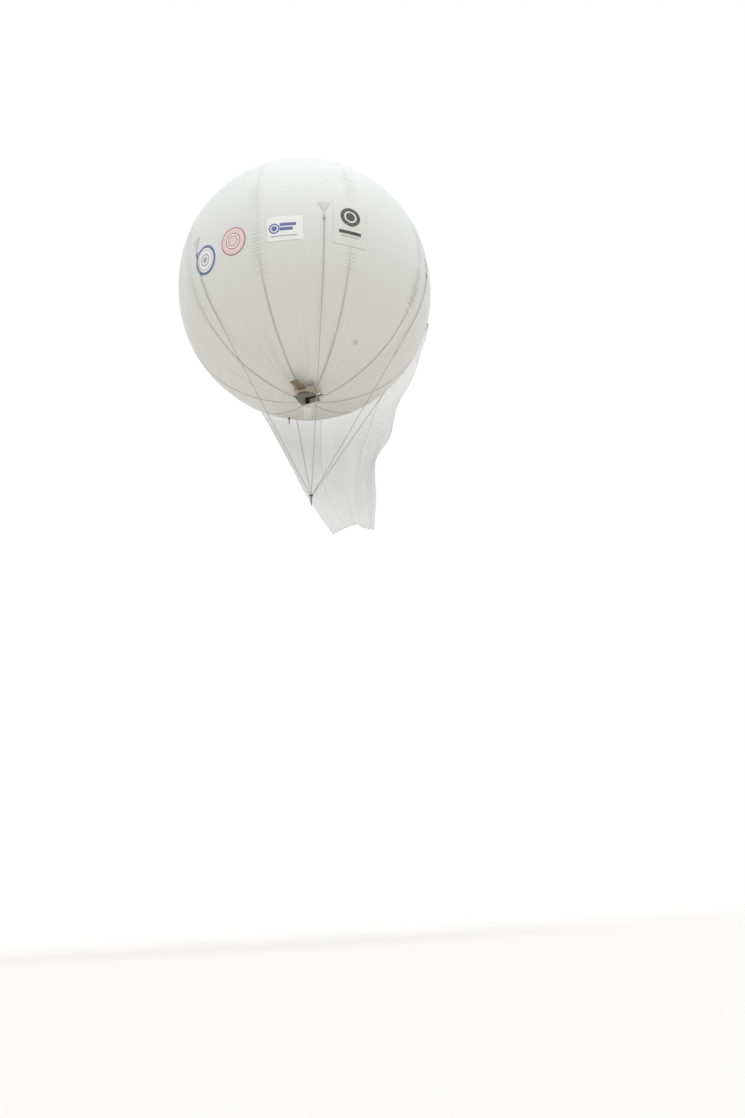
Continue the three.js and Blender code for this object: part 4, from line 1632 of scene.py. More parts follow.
    def shackle(self) -> None:
        """A bow shackle with its pin, collars and lock."""
        half, wire, drop = Vector((0, 0.023, 0)), 0.005, 0.052
        eye = Vector((0, 0, self.plate_top - self.shackle_drop))
        low = eye - UP * (drop - 0.023)
        bow = [eye - half, eye.lerp(low, 0.5) - half]
        bow += arc(low, -half, ACROSS, 180, 20)
        bow += [eye.lerp(low, 0.5) + half, eye + half]
        form = Form().tube(bow, wire, 14)
        collar = [(0.0085, -0.0045), (0.0095, -0.003), (0.0095, 0.003), (0.0085, 0.0045)]
        for side in (-half, half):
            form.lathe(collar, 24, stand(eye + side, 90, "X"))
        form.keep("tether_shackle_steel", STEEL, Slot.STEEL, "tether_shackle", body=Body.SHACKLE)
        profile = [(0.0065, -0.031), (0.0065, -0.0275), (0.005, -0.0272), (0.005, 0.0272), (0.0075, 0.0275),
                   (0.0075, 0.031)]
        pin = Form().lathe(profile, 24, stand(eye, 90, "X"))
        pin.keep("tether_shackle_pin", BRIGHT, Slot.STEEL, body=Body.SHACKLE)


def smooth_curve(points: np.ndarray, at: np.ndarray) -> np.ndarray:
    """A centripetal curve through points, read at shares of its own length.

    Args:
        points: The points.
        at: The shares.

    Returns:
        One point for each share.
    """
    padded = np.vstack([2 * points[0] - points[1], points, 2 * points[-1] - points[-2]])

    def value(t: np.ndarray) -> np.ndarray:
        """Points at even shares of the curve's spans."""
        spans = len(points) - 1
        p = np.clip(t, 0, 1) * spans
        i = np.minimum(p.astype(int), spans - 1)
        w = (p - i)[:, None]
        a, b, c, d = (padded[i + k] for k in range(4))
        g0, g1, g2 = (np.linalg.norm(q - r, axis=1)[:, None] ** 0.5 for q, r in ((b, a), (c, b), (d, c)))
        s = ((b - a) / g0 - (c - a) / (g0 + g1) + (c - b) / g1) * g1
        e = ((c - b) / g1 - (d - b) / (g1 + g2) + (d - c) / g2) * g1
        return b + s * w + (3 * (c - b) - 2 * s - e) * w**2 + (2 * (b - c) + s + e) * w**3

    steps = np.linspace(0, 1, 201)
    lengths = arc_lengths(value(steps))
    return value(np.interp(at * lengths[-1], lengths, steps))


@dataclass
class SkirtShape:
    """The skirt's surface: ribs in millimetres from the hem down, and a smooth curve across them."""

    hem_first: float = -150.0
    hem_sweep: float = -113.0
    hem_latitude: float = -8.0
    hem_drop: float = 4.0
    hem_height: float = 0.030
    billow: float = 0.024
    top_gap: float = 0.0063
    rows: int = 14
    shares: tuple[float, ...] = (0.0, 0.25, 0.5, 0.75, 1.0)
    ribs: tuple[tuple[tuple[int, int, int], ...], ...] = (
        ((-847, 1467, -1143), (-630, 1091, -1800), (-432, 748, -2400), (-235, 406, -3000), (-45, 90, -3580),
         (310, 600, -3940)),
        ((-55, 1710, -1150), (-30, 1450, -1800), (20, 1120, -2400), (80, 760, -3000), (200, 560, -3450),
         (460, 760, -3800)),
        ((760, 1540, -1130), (620, 1420, -1750), (500, 1250, -2350), (470, 1080, -2900), (540, 930, -3350),
         (620, 830, -3700)),
        ((1420, 1020, -1110), (1180, 1170, -1650), (980, 1180, -2200), (830, 1100, -2800), (790, 1000, -3300),
         (800, 900, -3710)),
        ((1720, 620, -1140), (1430, 850, -1610), (1300, 960, -2080), (1060, 970, -2500), (1020, 950, -3200),
         (960, 950, -3740)),
    )

    @property
    def hem_radius(self) -> float:
        """Radius that the hem stands at."""
        return ENVELOPE_RADIUS + self.hem_height

    def latitude(self, share: float) -> float:
        """Latitude of the hem at a share of its length."""
        return self.hem_latitude - self.hem_drop * share**2

    def hem_point(self, share: float, below: float = 0.0) -> Vector:
        """A point at a share of the hem's length, or a distance down the envelope from it."""
        latitude = self.latitude(share) - math.degrees(below / self.hem_radius)
        return on_sphere(self.hem_first + self.hem_sweep * share, latitude, self.hem_radius)

    def grid(self, across: np.ndarray, down: np.ndarray) -> np.ndarray:
        """Points of the skirt's middle surface.

        Args:
            across: Shares of its width, from its left edge.
            down: Shares of its length, from the hem.

        Returns:
            Points, by across and down.
        """
        stations = []
        for share, rib in zip(self.shares, self.ribs):
            top = np.array(self.hem_point(share, self.top_gap))
            stations.append(smooth_curve(np.vstack([top, np.array(rib) / 1000]), down))
        shares, last = self.shares, len(self.shares) - 1
        rows = []
        for a in across:
            i = min(sum(a > s for s in shares[1:-1]), last - 1)
            span = shares[i + 1] - shares[i]
            t = (a - shares[i]) / span

            def slope(low: int, high: int) -> np.ndarray:
                """The surface's slope across one rib."""
                return (stations[high] - stations[low]) * (span / (shares[high] - shares[low]))

            leaving, arriving = slope(max(i - 1, 0), i + 1), slope(i, min(i + 2, last))
            line = stations[i] * (2 * t**3 - 3 * t**2 + 1) + leaving * (t**3 - 2 * t**2 + t)
            line = line + stations[i + 1] * (3 * t**2 - 2 * t**3) + arriving * (t**3 - t**2)
            miss = np.array(self.hem_point(a, self.top_gap)) - line[0]
            line = line + miss * ((1 - down) ** 4)[:, None]
            least = self.hem_radius + self.billow * np.minimum(1, down * self.rows)
            size = np.linalg.norm(line, axis=1)
            rows.append(line * np.maximum(1, least / size)[:, None])
        return np.array(rows)


@dataclass(frozen=True)
class Fold:
    """A soft fold that runs down the skirt: its line as (down, across), its width and how far it stands out."""

    line: tuple[tuple[float, float], ...]
    width: float
    depth: float
    start: float = 0.12
    growth: float = 0.45

    def push(self, across: np.ndarray, down: np.ndarray) -> np.ndarray:
        """How far the fold moves each point along the surface's normal.

        Args:
            across: Shares across the skirt.
            down: Shares down it.

        Returns:
            Distances in metres.
        """
        downs, acrosses = zip(*self.line)
        offset = (across - np.interp(down, downs, acrosses)) / self.width
        grow = np.clip((down - self.start) / self.growth, 0, 1)
        return self.depth * grow * grow * (3 - 2 * grow) * np.exp(-offset * offset)


@dataclass
class Skirt:
    """The loose skirt behind the envelope: its hem line, tabs, lacing, three panels, bands and stitches."""

    shape: SkirtShape = field(default_factory=SkirtShape)
    columns: int = 181
    rows: int = 181
    wall: float = 0.0012
    band_wall: float = 0.0026
    band_lines: tuple[float, ...] = (0.0, 0.006, 0.022, 0.028)
    seam_lines: tuple[float, float] = (0.008, 0.004)
    clearance: float = 0.035
    ripple: float = 0.0030
    ripples: int = 14
    slack: float = 0.012
    lacing_pitch: float = 0.055
    stitch_pitch: float = 0.014
    thread: float = 0.0011
    tab_azimuths: tuple[float, ...] = (-153, -176, -195, -212, -226, -245, -262)
    tab_loop: tuple[tuple[float, float], ...] = (
        (0.095, -0.026), (0.060, -0.0252), (0.035, -0.020), (0.014, -0.004), (0.004, 0.0056), (-0.0045, 0.0045),
        (-0.0068, 0.0), (-0.0045, -0.0050), (0.004, -0.0085), (0.030, -0.0235), (0.060, -0.0272),
    )
    names: tuple[str, ...] = ("left", "centre", "right")
    folds: tuple[Fold, ...] = (
        Fold(((0.0, 0.300), (0.46, 0.312), (0.67, 0.317), (0.80, 0.25), (0.89, 0.14), (1.0, 0.10)), 0.026, -0.024),
        Fold(((0.0, 0.210), (0.26, 0.204), (0.43, 0.196), (0.68, 0.138), (1.0, 0.08)), 0.013, 0.006),
        Fold(((0.0, 0.450), (0.48, 0.492), (0.66, 0.554), (0.81, 0.575), (1.0, 0.60)), 0.060, -0.034),
        Fold(((0.0, 0.740), (0.40, 0.767), (0.52, 0.920), (0.70, 0.950), (1.0, 0.95)), 0.048, -0.026),
        Fold(((0.0, 0.660), (0.60, 0.708), (0.79, 0.833), (1.0, 0.86)), 0.030, 0.012),
        Fold(((0.0, 0.540), (0.50, 0.610), (0.80, 0.690), (1.0, 0.72)), 0.035, 0.020),
        Fold(((0.0, 0.880), (0.50, 0.860), (1.0, 0.93)), 0.025, 0.016),
    )

    def build(self) -> None:
        """Builds and dresses every piece."""
        self.hem_line()
        self.lacing()
        points = self.folded()
        bands = self.bands(points)
        for i, name in enumerate(self.names):
            self.panel(i, name, points)

    def tab_shares(self) -> list[float]:
        """Where the tabs are, as shares of the hem's length."""
        return [(azimuth - self.shape.hem_first) / self.shape.hem_sweep for azimuth in self.tab_azimuths]

    def hem_line(self) -> None:
        """The cord that the skirt hangs from, with its tabs on the envelope."""
        path = [self.shape.hem_point(s) for s in np.linspace(0, 1, 150)]
        Form().tube(path, 0.005, 10).keep("skirt_hem_cord", ROPE, Slot.ROPE, "skirt_hem_line")
        tabs = Form()
        for azimuth, share in zip(self.tab_azimuths, self.tab_shares()):
            made = len(tabs.bm.verts)
            tabs.ribbon(side_view(self.tab_loop), 0.038, 0.0016, UP)
            tabs.bm.verts.ensure_lookup_table()
            place = envelope_frame(azimuth, self.shape.latitude(share), self.shape.hem_radius)
            bmesh.ops.transform(tabs.bm, matrix=place, verts=tabs.bm.verts[made:])
        tabs.keep("skirt_hem_tabs", WEBBING, Slot.TAPE)

    def lacing(self) -> None:
        """The lacing rings that hold the skirt's top edge to the hem cord."""
        line = [self.shape.hem_point(s, 0.006) for s in np.linspace(0.004, 0.996, 150)]
        values = {"Pitch": self.lacing_pitch, "Radius": 0.0125, "Wire": self.thread}
        keep(grown(edge_lines("skirt_lacing_rings", [line]), TREES.ring, SKIRT_THREAD, values), Slot.ROPE)

    def folded(self) -> np.ndarray:
        """The skirt's points, by across and down, with its folds, its ripples and the slack between its tabs.

        Returns:
            The points.
        """
        across, down = np.linspace(0, 1, self.columns), np.linspace(0, 1, self.rows)
        points = self.shape.grid(across, down)
        a, s = np.meshgrid(across, down, indexing="ij")
        push = sum(fold.push(a, s) for fold in self.folds)
        chance = np.random.default_rng(11)
        for _ in range(self.ripples):
            waves = chance.uniform((3, 1), (11, 7))
            slant, phase = chance.uniform(-1, 1), chance.uniform(0, math.tau)
            push += self.ripple * np.sin(math.tau * (waves[0] * a + slant * waves[1] * s) + phase) * (0.3 + 0.7 * s) / 2
        near_tab = np.min(np.abs(a[..., None] - np.array(self.tab_shares())), axis=-1) / 0.08
        push += self.slack * np.exp(-s / 0.10) * np.minimum(1, near_tab) * np.minimum(1, s / 0.02)
        taut = np.clip(a / 0.09, 0, 1) * np.clip(s / 0.03, 0, 1)
        points = points + self.normals(points) * (push * taut)[..., None]
        size = np.linalg.norm(points, axis=-1)
        least = ENVELOPE_RADIUS + self.clearance
        return points * np.where((s > 0.02) & (size < least), least / size, 1.0)[..., None]

    @staticmethod
    def normals(points: np.ndarray) -> np.ndarray:
        """Unit normals of a grid of points."""
        normals = np.cross(np.gradient(points, axis=0), np.gradient(points, axis=1))
        return normals / np.maximum(1e-9, np.linalg.norm(normals, axis=-1, keepdims=True))

    @staticmethod
    def walk(lines: np.ndarray, distance: float) -> np.ndarray:
        """The point at a distance along each of several lines."""
        found = [[np.interp(distance, arc_lengths(line), line[:, k]) for k in range(3)] for line in lines]
        return np.array(found)

    def bands(self, points: np.ndarray) -> list[Thing]:
        """The doubled bands round the skirt and over its two seams, and their rows of stitches.

        Args:
            points: The skirt's points.

        Returns:
            The bands and the stitches.
        """
        by_row = points.transpose(1, 0, 2)
        third = (self.columns - 1) // 3
        blocks = [[self.walk(lines, d) for d in self.band_lines]
                  for lines in (by_row, by_row[:, ::-1], points[:, ::-1], points)]
        for seam in (third, 2 * third):
            left, right = by_row[:, seam::-1], by_row[:, seam:]
            blocks.append([self.walk(left, d) for d in self.seam_lines])
            blocks[-1] += [self.walk(right, d) for d in self.seam_lines[::-1]]
        blocks = [np.array(block).transpose(1, 0, 2) for block in blocks]
        rows = []
        for block in blocks:
            lift = self.normals(block) * (self.band_wall / 2 + 0.0003)
            for line in (1, 2):
                rows += [[Vector(p) for p in (block + side * lift)[2:-2, line]] for side in (-1, 1)]
        strips = [self.cloth("strip", block, SKIRT_HEM, self.band_wall)[0] for block in blocks]
        bands = keep(joined("skirt_hem_bands", strips, SKIRT_HEM), Slot.SKIRT)
        values = {"Pitch": self.stitch_pitch, "Length": self.stitch_pitch * 0.62, "Thickness": self.thread}
        lines = edge_lines("skirt_hem_stitches", rows)
        return [bands, keep(grown(lines, TREES.stitch, SKIRT_THREAD, values), Slot.SKIRT)]

    @staticmethod
    def cloth(name: str, block: np.ndarray, finish: Finish, wall: float) -> tuple[Thing, float, float]:
        """A grid of points as a thin closed sheet, with its UV map in metres.

        Args:
            name: The object's name.
            block: The points.
            finish: Its finish.
            wall: Its thickness.

        Returns:
            The sheet, and its flat size along the grid's two axes.
        """
        columns, rows = block.shape[:2]
        mesh = bpy.data.meshes.new(name)
        widths, heights = arc_lengths(block[:, rows // 2]), arc_lengths(block[columns // 2])
        starts = [i * rows + j for i in range(columns - 1) for j in range(rows - 1)]
        faces = [(a, a + 1, a + rows + 1, a + rows) for a in starts]
        mesh.from_pydata(block.reshape(-1, 3).tolist(), [], faces)
        layer = mesh.uv_layers.new(name=UV_NAME)
        vertices = np.zeros(len(mesh.loops), dtype=int)
        mesh.loops.foreach_get("vertex_index", vertices)
        layer.data.foreach_set("uv", np.stack([widths[vertices // rows], heights[vertices % rows]], 1).ravel())
        return flattened(thing_from(name, mesh, finish), wall, 0), float(widths[-1]), float(heights[-1])

    def panel(self, index: int, name: str, points: np.ndarray) -> None:
        """One panel as a thin closed sheet.

        Args:
            index: Its number from the left.
            name: Its name.
            points: The skirt's points.
        """
        third = (self.columns - 1) // 3
        block = points[index * third : (index + 1) * third + 1]
        thing, width, height = self.cloth(f"skirt_panel_{name}_fabric", block, SKIRT, self.wall)
        keep(thing, Slot.SKIRT, f"skirt_panel_{name}")
        area = sum(p.area for p in thing.data.polygons) / 2
        stretch = max(1.0, area / (width * height))
        round(width * stretch, 3)


@dataclass
class Payload:
    """The tray on its straps, with the housing, the board, the camera, the aerial and the radio box."""

    place: Matrix = field(default_factory=lambda: stand((-0.017, -0.288, -2.030), -25))
    length: float = 0.312
    width: float = 0.280
    height: float = 0.098
    base_height: float = 0.014
    inset: float = 0.0022
    gap: float = 0.0003
    tray_lip: float = 0.016
    sheet: float = 0.0022
    strap_inset: float = 0.014
    buckle: tuple[float, float] = (0.017, 0.007)
    rib_step: float = 0.032
    ribs: int = 9
    camera_at: tuple[float, float] = (0.006, -0.010)
    camera_axle: float = 0.050
    ball_radius: float = 0.028
    aerial_radius: float = 0.009
    aerial_length: float = 0.212
    radio_size: tuple[float, float, float] = (0.040, 0.056, 0.036)

    def build(self) -> None:
        """Builds and dresses every piece."""
        self.tray()
        self.straps()
        self.housing()
        self.handle()
        self.board()
        self.camera()
        self.aerial()
        self.radio()
        self.junction()

    @property
    def under(self) -> float:
        """Height that the pieces below the housing hang from."""
        return -self.height - self.gap

    def screws(self, name: str, points: Path, direction: Vector, radius: float, finish: Finish, slot: Slot) -> None:
        """Screw heads at points of the payload's own frame.

        Args:
            name: The piece's name.
            points: Their places.
            direction: Which way they face, in the same frame.
            radius: Radius of a head.
            finish: Their finish.
            slot: The record's slot.
        """
        heads = edge_lines(name, [[self.place @ Vector(point)] for point in points])
        facing = tuple(self.place.to_3x3() @ direction)
        values = {"Direction": facing, "Radius": radius, "Height": radius * 0.45}
        keep(grown(heads, TREES.fastener, finish, values), slot)

    def tray(self) -> None:
        """The folded tray, turned up along three sides."""
        length, width, sheet = self.length + self.tray_lip, self.width + self.tray_lip, self.sheet
        form = Form(self.place).box((length, width, 0.004), (0, 0, 0.0023), 0.001)
        for side in (-1, 1):
            form.box((sheet, width - 0.06, 0.012), (side * (length / 2 - sheet / 2), 0, 0.0095), 0.0006)
        form.box((length - 0.06, sheet, 0.012), (0, width / 2 - sheet / 2, 0.0095), 0.0006)
        form.keep("payload_tray_sheet", TRAY, Slot.TRAY, "payload_tray")

    def straps(self) -> None:
        """The four webbing straps that the tray hangs on, with their buckles and rivets."""
        straps, buckles, rivets = Form(self.place), Form(self.place), []
        inverse, turn = self.place.inverted(), self.place.to_3x3()
        reach = ENVELOPE_RADIUS + 0.004
        wide, high = self.buckle
        corners = [Vector(corner) for corner in ((-wide, 0, -high), (wide, 0, -high), (wide, 0, high), (-wide, 0, high))]
        for sx, sy in ((-1, -1), (-1, 1), (1, -1), (1, 1)):
            x, y = sx * (self.length / 2 - self.strap_inset), sy * (self.width / 2 - self.strap_inset)
            foot = self.place @ Vector((x, y, 0.004))
            top = Vector((foot.x, foot.y, -math.sqrt(reach**2 - foot.x**2 - foot.y**2)))
            away = (turn @ Vector((0, sy, 0))).normalized()
            path = [foot, foot.lerp(top, 0.4), foot.lerp(top, 0.85)]
            path += [(top + away * step).normalized() * (reach + 0.0008) for step in (0.006, 0.016, 0.030)]
            local = [inverse @ point for point in path]
            straps.ribbon(local, 0.026, 0.0022, Vector((0, sy, 0)))
            middle = local[0].lerp(local[1], 0.75)
            frame_line = [middle + corners[k].lerp(corners[(k + 1) % 4], i / 4) for k in range(4) for i in range(4)]
            buckles.tube(frame_line, 0.0024, 8, closed=True)
            rivets += [Vector((x + dx, y - sy * 0.014, 0.0043)) for dx in (-0.007, 0.007)]
        straps.keep("payload_straps", STRAP, Slot.TRAY)
        buckles.keep("payload_strap_buckles", STEEL, Slot.STEEL)
        self.screws("payload_strap_rivets", rivets, UP, 0.0034, STEEL, Slot.STEEL)

    def housing(self) -> None:
        """The beige cover over a grey base shell, with its joint line, ribs and screws."""
        length, width, low = self.length, self.width, -self.height
        split = low + self.base_height
        cover = Form(self.place)
        cover.box((length - 2 * self.inset, width - 2 * self.inset, -split), (0, 0, split / 2), 0.007, 3)
        for side in (-1, 1):
            cover.box((length - 0.05, 0.003, 0.010), (0, side * (width / 2 - 0.0018), split + 0.016), 0.0012)
            cover.box((0.003, width - 0.05, 0.010), (side * (length / 2 - 0.0018), 0, split + 0.016), 0.0012)
        cover.keep("payload_housing", COVER, Slot.HOUSING, "payload_box")
        base = Form(self.place).box((length, width, self.base_height), (0, 0, low + self.base_height / 2), 0.003, 3)
        base.keep("payload_base_shell", HOUSING, Slot.HOUSING)
        values = {
            "Count": self.ribs,
            "Start": tuple(self.place @ Vector((-self.rib_step * (self.ribs - 1) / 2, 0, self.under))),
            "Step": tuple(self.place.to_3x3() @ Vector((self.rib_step, 0, 0))),
            "Size": (0.005, width - 0.034, 0.0022),
            "Turn": tuple(self.place.to_euler()),
        }
        ribs = thing_from("payload_base_ribs", bpy.data.meshes.new("payload_base_ribs"))
        keep(grown(ribs, TREES.rib, RIBS, values), Slot.HOUSING)
        spots = [(sx * (length / 2 - 0.010), y, low) for sx in (-1, 1) for y in (-0.128, -0.045, 0.045, 0.128)]
        self.screws("payload_base_screws", spots, DOWN, 0.0042, BRIGHT, Slot.STEEL)

    def handle(self) -> None:
        """The brown carrying handle that sags along the front face's lower edge, on two stitched feet."""
        face = -self.width / 2 + self.inset
        marks = ((-0.084, 0.003, -0.066), (-0.058, 0.012, -0.072), (-0.011, 0.016, -0.075), (0.036, 0.018, -0.086),
                 (0.070, 0.014, -0.094), (0.094, 0.003, -0.086))
        route = smooth_curve(np.array([(x, face - out, z) for x, out, z in marks]), np.linspace(0, 1, 25))
        form = Form(self.place).ribbon([Vector(point) for point in route], 0.025, 0.006, Vector((0, -1, -0.5)))
        for x, _, z in (marks[0], marks[-1]):
            form.box((0.030, 0.003, 0.020), (x, face - 0.0018, z), 0.001)
        form.keep("payload_handle_webbing", HANDLE, Slot.HOUSING)

    def board(self) -> None:
        """Two weathered slats, side by side and staggered, on two battens, with their screws."""
        gap, width, thick, lengths, battens = 0.005, 0.126, 0.009, (0.296, 0.312), (-0.040, -0.272)
        slat = (width - gap) / 2
        hang = stand((-0.014, -self.width / 2 - self.gap, -thick), 6, "X") @ stand((0, 0, thick))
        form = Form(self.place @ hang)
        heads = []
        for side, length in zip((-1, 1), lengths):
            x = side * (slat + gap) / 2
            form.box((slat, length, thick), (x, -length / 2, -thick / 2), 0.0014)
            heads += [hang @ Vector((x + dx, y, -thick)) for dx in (-0.02, 0.02) for y in battens]
        for y in battens:
            form.box((width, 0.018, 0.005), (0, y, 0.002), 0.001)
        form.keep("outrigger_board_slats", BOARD, Slot.BOARD, "outrigger_board")
        self.screws("outrigger_board_screws", heads, DOWN, 0.0036, STEEL, Slot.BOARD)

    def camera(self) -> None:
        """The camera's base, yoke and head."""
        (x, y), deep, radius = self.camera_at, 0.012, self.ball_radius
        profile = [(0.0245, 0.0), (0.028, 0.0035), (0.028, 0.0065), (0.0268, 0.0070), (0.0268, 0.0082),
                   (0.028, 0.0087), (0.028, deep)]
        base = Form(self.place).lathe(profile, 48, stand((x, y, self.under - deep)))
        base.keep("camera_base_ring", BLACK, Slot.BLACK, "camera_base")
        top = self.under - deep - self.gap
        eye = top - self.camera_axle
        yoke = Form(self.place).box((0.072, 0.026, 0.006), (x, y, top - 0.003), 0.002)
        cap = [(0.0085, -0.002), (0.0085, 0.0016), (0.0070, 0.0026)]
        for side in (-1, 1):
            yoke.box((0.006, 0.020, 0.058), (x + side * 0.033, y, top - 0.029), 0.0024, 3)
            yoke.lathe(cap, 28, stand((x + side * 0.0355, y, eye), side * 90, "Y"))
        yoke.keep("camera_yoke_arms", BLACK, Slot.BLACK, "camera_yoke", body=Body.YOKE)
        ball = [(radius * math.sin(a), -radius * math.cos(a)) for a in np.linspace(0, math.pi, 29)]
        ball[0], ball[-1] = (0.0, -radius), (0.0, radius)
        groove = radius - 0.0010
        ball[13:16] = [(radius, -0.0022), (groove, -0.0016), (groove, 0.0016), (radius, 0.0022)]
        barrel = [(0.013, -0.006), (0.013, 0.0030), (0.0124, 0.0048), (0.0115, 0.0058), (0.0098, 0.0058),
                  (0.0090, 0.0034)]
        lens = stand((x, y - radius, eye), 90, "X")
        head = Form(self.place).lathe(ball, 48, stand((x, y, eye), 90, "X")).lathe(barrel, 40, lens)
        head.lathe([(0.0065, -0.0297), (0.0065, 0.0297)], 24, stand((x, y, eye), 90, "Y"))
        head.keep("camera_head_shell", BLACK, Slot.BLACK, "camera_head", body=Body.CAMERA)
        dome = [(0.0, 0.0030), (0.0088, 0.0032), (0.0078, 0.0040), (0.005, 0.0048), (0.0, 0.0052)]
        glass = Form(self.place).lathe(dome, 32, lens)
        glass.keep("camera_lens_glass", GLASS, Slot.BLACK, body=Body.CAMERA)

    def aerial(self) -> None:
        """The sleeved rod aerial with its foot, its ribbed grip and its round tip."""
        radius, length, foot, y = self.aerial_radius, self.aerial_length, 0.066, -0.020
        waist, grip = radius - 0.0014, radius - 0.0003
        profile = [(radius - 0.001, 0.0), (radius, 0.001), (radius, 0.034), (waist, 0.036)]
        for i in range(6):
            start = 0.040 + i * 0.0062
            profile += [(waist, start), (grip, start + 0.001), (grip, start + 0.0034), (waist, start + 0.0044)]
        profile += [(waist, 0.090), (radius - 0.0008, 0.094), (radius - 0.0004, 0.150), (waist, 0.153),
                    (waist, 0.158), (radius, 0.161), (radius, length - 0.006), (waist, length - 0.0015),
                    (0.0, length)]
        form = Form(self.place).lathe(profile, 24, stand((0.050, y, self.under - 0.011), 90, "Y"))
        form.box((0.030, 0.024, 0.015), (foot, y, self.under - 0.0075), 0.0025, 3)
        form.keep("rod_aerial_body", AERIAL, Slot.BLACK, "rod_aerial")
        ears = [(foot + dx, y + dy, self.under - 0.015) for dx in (-0.010, 0.010) for dy in (-0.007, 0.007)]
        self.screws("rod_aerial_screws", ears, DOWN, 0.0022, BRIGHT, Slot.STEEL)

    def radio(self) -> None:
        """The white radio box on the housing's side, with its lid line, gland and screws."""
        length, width, height = self.radio_size
        x, y, z = self.length / 2 + self.gap + length / 2, 0.010, -0.064
        form = Form(self.place).box((length - 0.011, width, height), (x - 0.0055, y, z), 0.003, 3)
        form.box((0.0104, width, height), (x + length / 2 - 0.0052, y, z), 0.003, 3)
        form.box((length - 0.004, width - 0.0030, height - 0.0030), (x, y, z), 0.003, 3)
        gland = [(0.0062, -0.002), (0.0062, 0.003), (0.0048, 0.0035), (0.0044, 0.008), (0.0, 0.0085)]
        form.lathe(gland, 20, stand((x, y - width / 2, z), 90, "X"))
        form.keep("radio_box_shell", WHITE, Slot.WHITE, "radio_box")
        spots = [(x + length / 2, y + dy, z + dz) for dy in (-0.023, 0.023) for dz in (-0.013, 0.013)]
        self.screws("radio_box_screws", spots, ACROSS, 0.0022, BRIGHT, Slot.STEEL)

    def junction(self) -> None:
        """The khaki junction cover round the housing's front right corner, held by two straps."""
        x, depth, high, low = self.length / 2 - self.inset, 0.034, 0.016, -0.036
        form = Form(self.place).box((depth, 0.130, high - low), (x + depth / 2, -0.045, (high + low) / 2), 0.013, 4)
        form.box((0.095, 0.040, 0.062), (x - 0.014, -0.150, -0.062), 0.014, 4)
        form.keep("junction_cover_shell", JUNCTION, Slot.HOUSING)
        loop = [(0.004, high + 0.0006), (0.018, high + 0.0006), (0.030, high - 0.004), (depth + 0.0008, high - 0.015),
                (depth + 0.0008, low + 0.015), (0.030, low + 0.004), (0.018, low - 0.0006), (0.004, low - 0.0006)]
        strap = Form(self.place)
        for y in (-0.068, -0.010):
            strap.ribbon([Vector((x + dx, y, z)) for dx, z in loop], 0.012, 0.0018, UP)
        strap.keep("junction_cover_straps", WEBBING, Slot.TRAY)


@dataclass
class Filling:
    """The filling collar on the envelope and its tied sleeve."""

    azimuth: float = -157.0
    latitude: float = -66.0
    radius: float = 0.016
    height: float = 0.026
    root: float = 0.050
    gap: float = 0.0003
    sleeve_length: float = 0.090
    tie_height: float = 0.0355

    def build(self) -> None:
        """Builds and dresses every piece."""
        out = on_sphere(self.azimuth, self.latitude, ENVELOPE_RADIUS)
        foot = out.z - self.height
        wide, waist, top = self.radius, self.radius - 0.0016, self.height + self.root / 2
        profile = [(wide - 0.002, 0.0), (wide, 0.002), (wide, 0.007), (waist, 0.008), (waist, 0.011), (wide, 0.012),
                   (wide, top)]
        collar = Form().lathe(profile, 40, stand((out.x, out.y, foot)))
        collar.keep("fill_collar_ring", COLLAR, Slot.BLACK, "fill_collar")
        length, low = self.sleeve_length, foot - self.gap - self.sleeve_length
        profile = [(0.0066, 0.0), (0.0072, 0.002), (0.0074, 0.024), (0.0052, 0.034), (0.0048, 0.037),
                   (0.0060, 0.042), (0.0082, 0.060), (0.009, length)]
        sleeve = Form().lathe(profile, 28, stand((out.x, out.y, low)))
        sleeve.keep("fill_sleeve_fabric", SLEEVE, Slot.PATCH, "fill_sleeve")
        tie, at = Form(), Vector((out.x, out.y, low + self.tie_height))
        for lift in (-0.0014, 0.0014):
            circle = arc(at + Vector((0, 0, lift)), Vector((0.0056, 0, 0)), UP, 360, 24)[:-1]
            tie.tube(circle, 0.0013, 8, closed=True)
        tie.keep("fill_sleeve_tie", ROPE, Slot.ROPE)


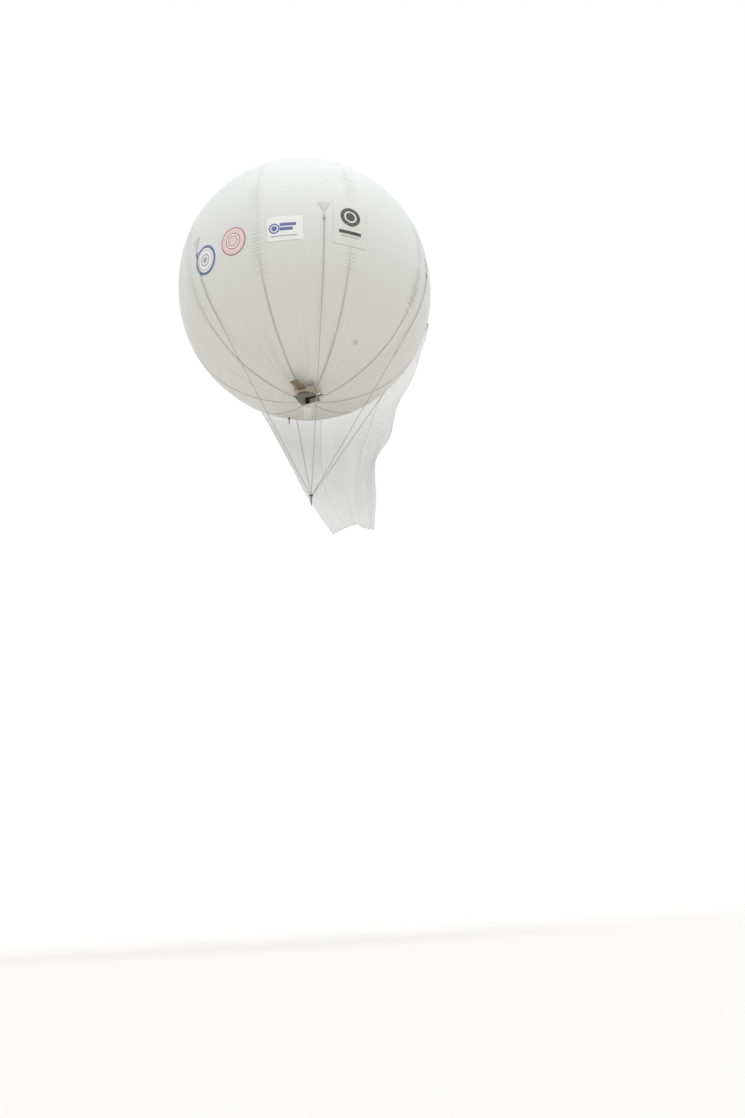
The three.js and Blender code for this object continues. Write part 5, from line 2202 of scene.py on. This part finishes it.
@dataclass
class Studio:
    """The floor, the light and the camera."""

    floor_height: float = -9.60
    floor_size: float = 90.0
    camera_at: tuple[float, float, float] = (0.0, -11.7943, -9.3648)
    right: tuple[float, float, float] = (0.99745, -0.05121, -0.04968)
    up: tuple[float, float, float] = (0.02683, -0.37598, 0.92624)
    forward: tuple[float, float, float] = (0.06611, 0.92521, 0.37365)
    lens: float = 28.98
    sensor: float = 36.0
    sun_power: float = 1.35
    sun_angle: float = 60.0
    sun_from: tuple[float, float, float] = (0.10, -0.40, 1.0)

    def camera(self) -> None:
        """The photograph's view, from floor level."""
        data = bpy.data.cameras.new("Photograph view")
        data.lens = self.lens
        data.sensor_width = self.sensor
        data.sensor_fit = "AUTO"
        data.clip_end = 300.0
        thing = bpy.data.objects.new("Photograph view", data)
        turn = Matrix((self.right, self.up, -Vector(self.forward))).transposed()
        thing.matrix_world = Matrix.Translation(self.camera_at) @ turn.to_4x4()
        bpy.context.scene.collection.objects.link(thing)
        bpy.context.scene.camera = thing

    def floor(self) -> None:
        """A wide pale floor."""
        bm = bmesh.new()
        bmesh.ops.create_grid(bm, x_segments=8, y_segments=8, size=self.floor_size)
        bmesh.ops.translate(bm, verts=bm.verts, vec=(0, 0, self.floor_height))
        thing_of("studio_floor", bm, FLOOR)

    def light(self) -> None:
        """A white sky and one weak wide sun."""
        world = bpy.data.worlds.new("Studio sky")
        world.use_nodes = True
        background = next(n for n in world.node_tree.nodes if n.type == "BACKGROUND")
        background.inputs["Color"].default_value = (1.0, 1.0, 1.0, 1.0)
        background.inputs["Strength"].default_value = 1.0
        bpy.context.scene.world = world
        data = bpy.data.lights.new("Soft sun", "SUN")
        data.energy = self.sun_power
        data.angle = math.radians(self.sun_angle)
        sun = bpy.data.objects.new("Soft sun", data)
        sun.matrix_world = Vector(self.sun_from).to_track_quat("Z", "Y").to_matrix().to_4x4()
        bpy.context.scene.collection.objects.link(sun)
        bpy.context.scene.view_settings.view_transform = "Standard"

    def build(self) -> None:
        """Builds the stage."""
        self.camera()
        self.floor()
        self.light()


def main() -> None:
    """Builds the stage and every sub-assembly."""
    logging.basicConfig(level=logging.INFO, format="%(name)s %(message)s")
    for part in (Studio(), Envelope(), Bridle(), Skirt(), Payload(), Filling()):
        LOG.info("building %s", type(part).__name__)
        part.build()


if __name__ == "__main__":
    main()
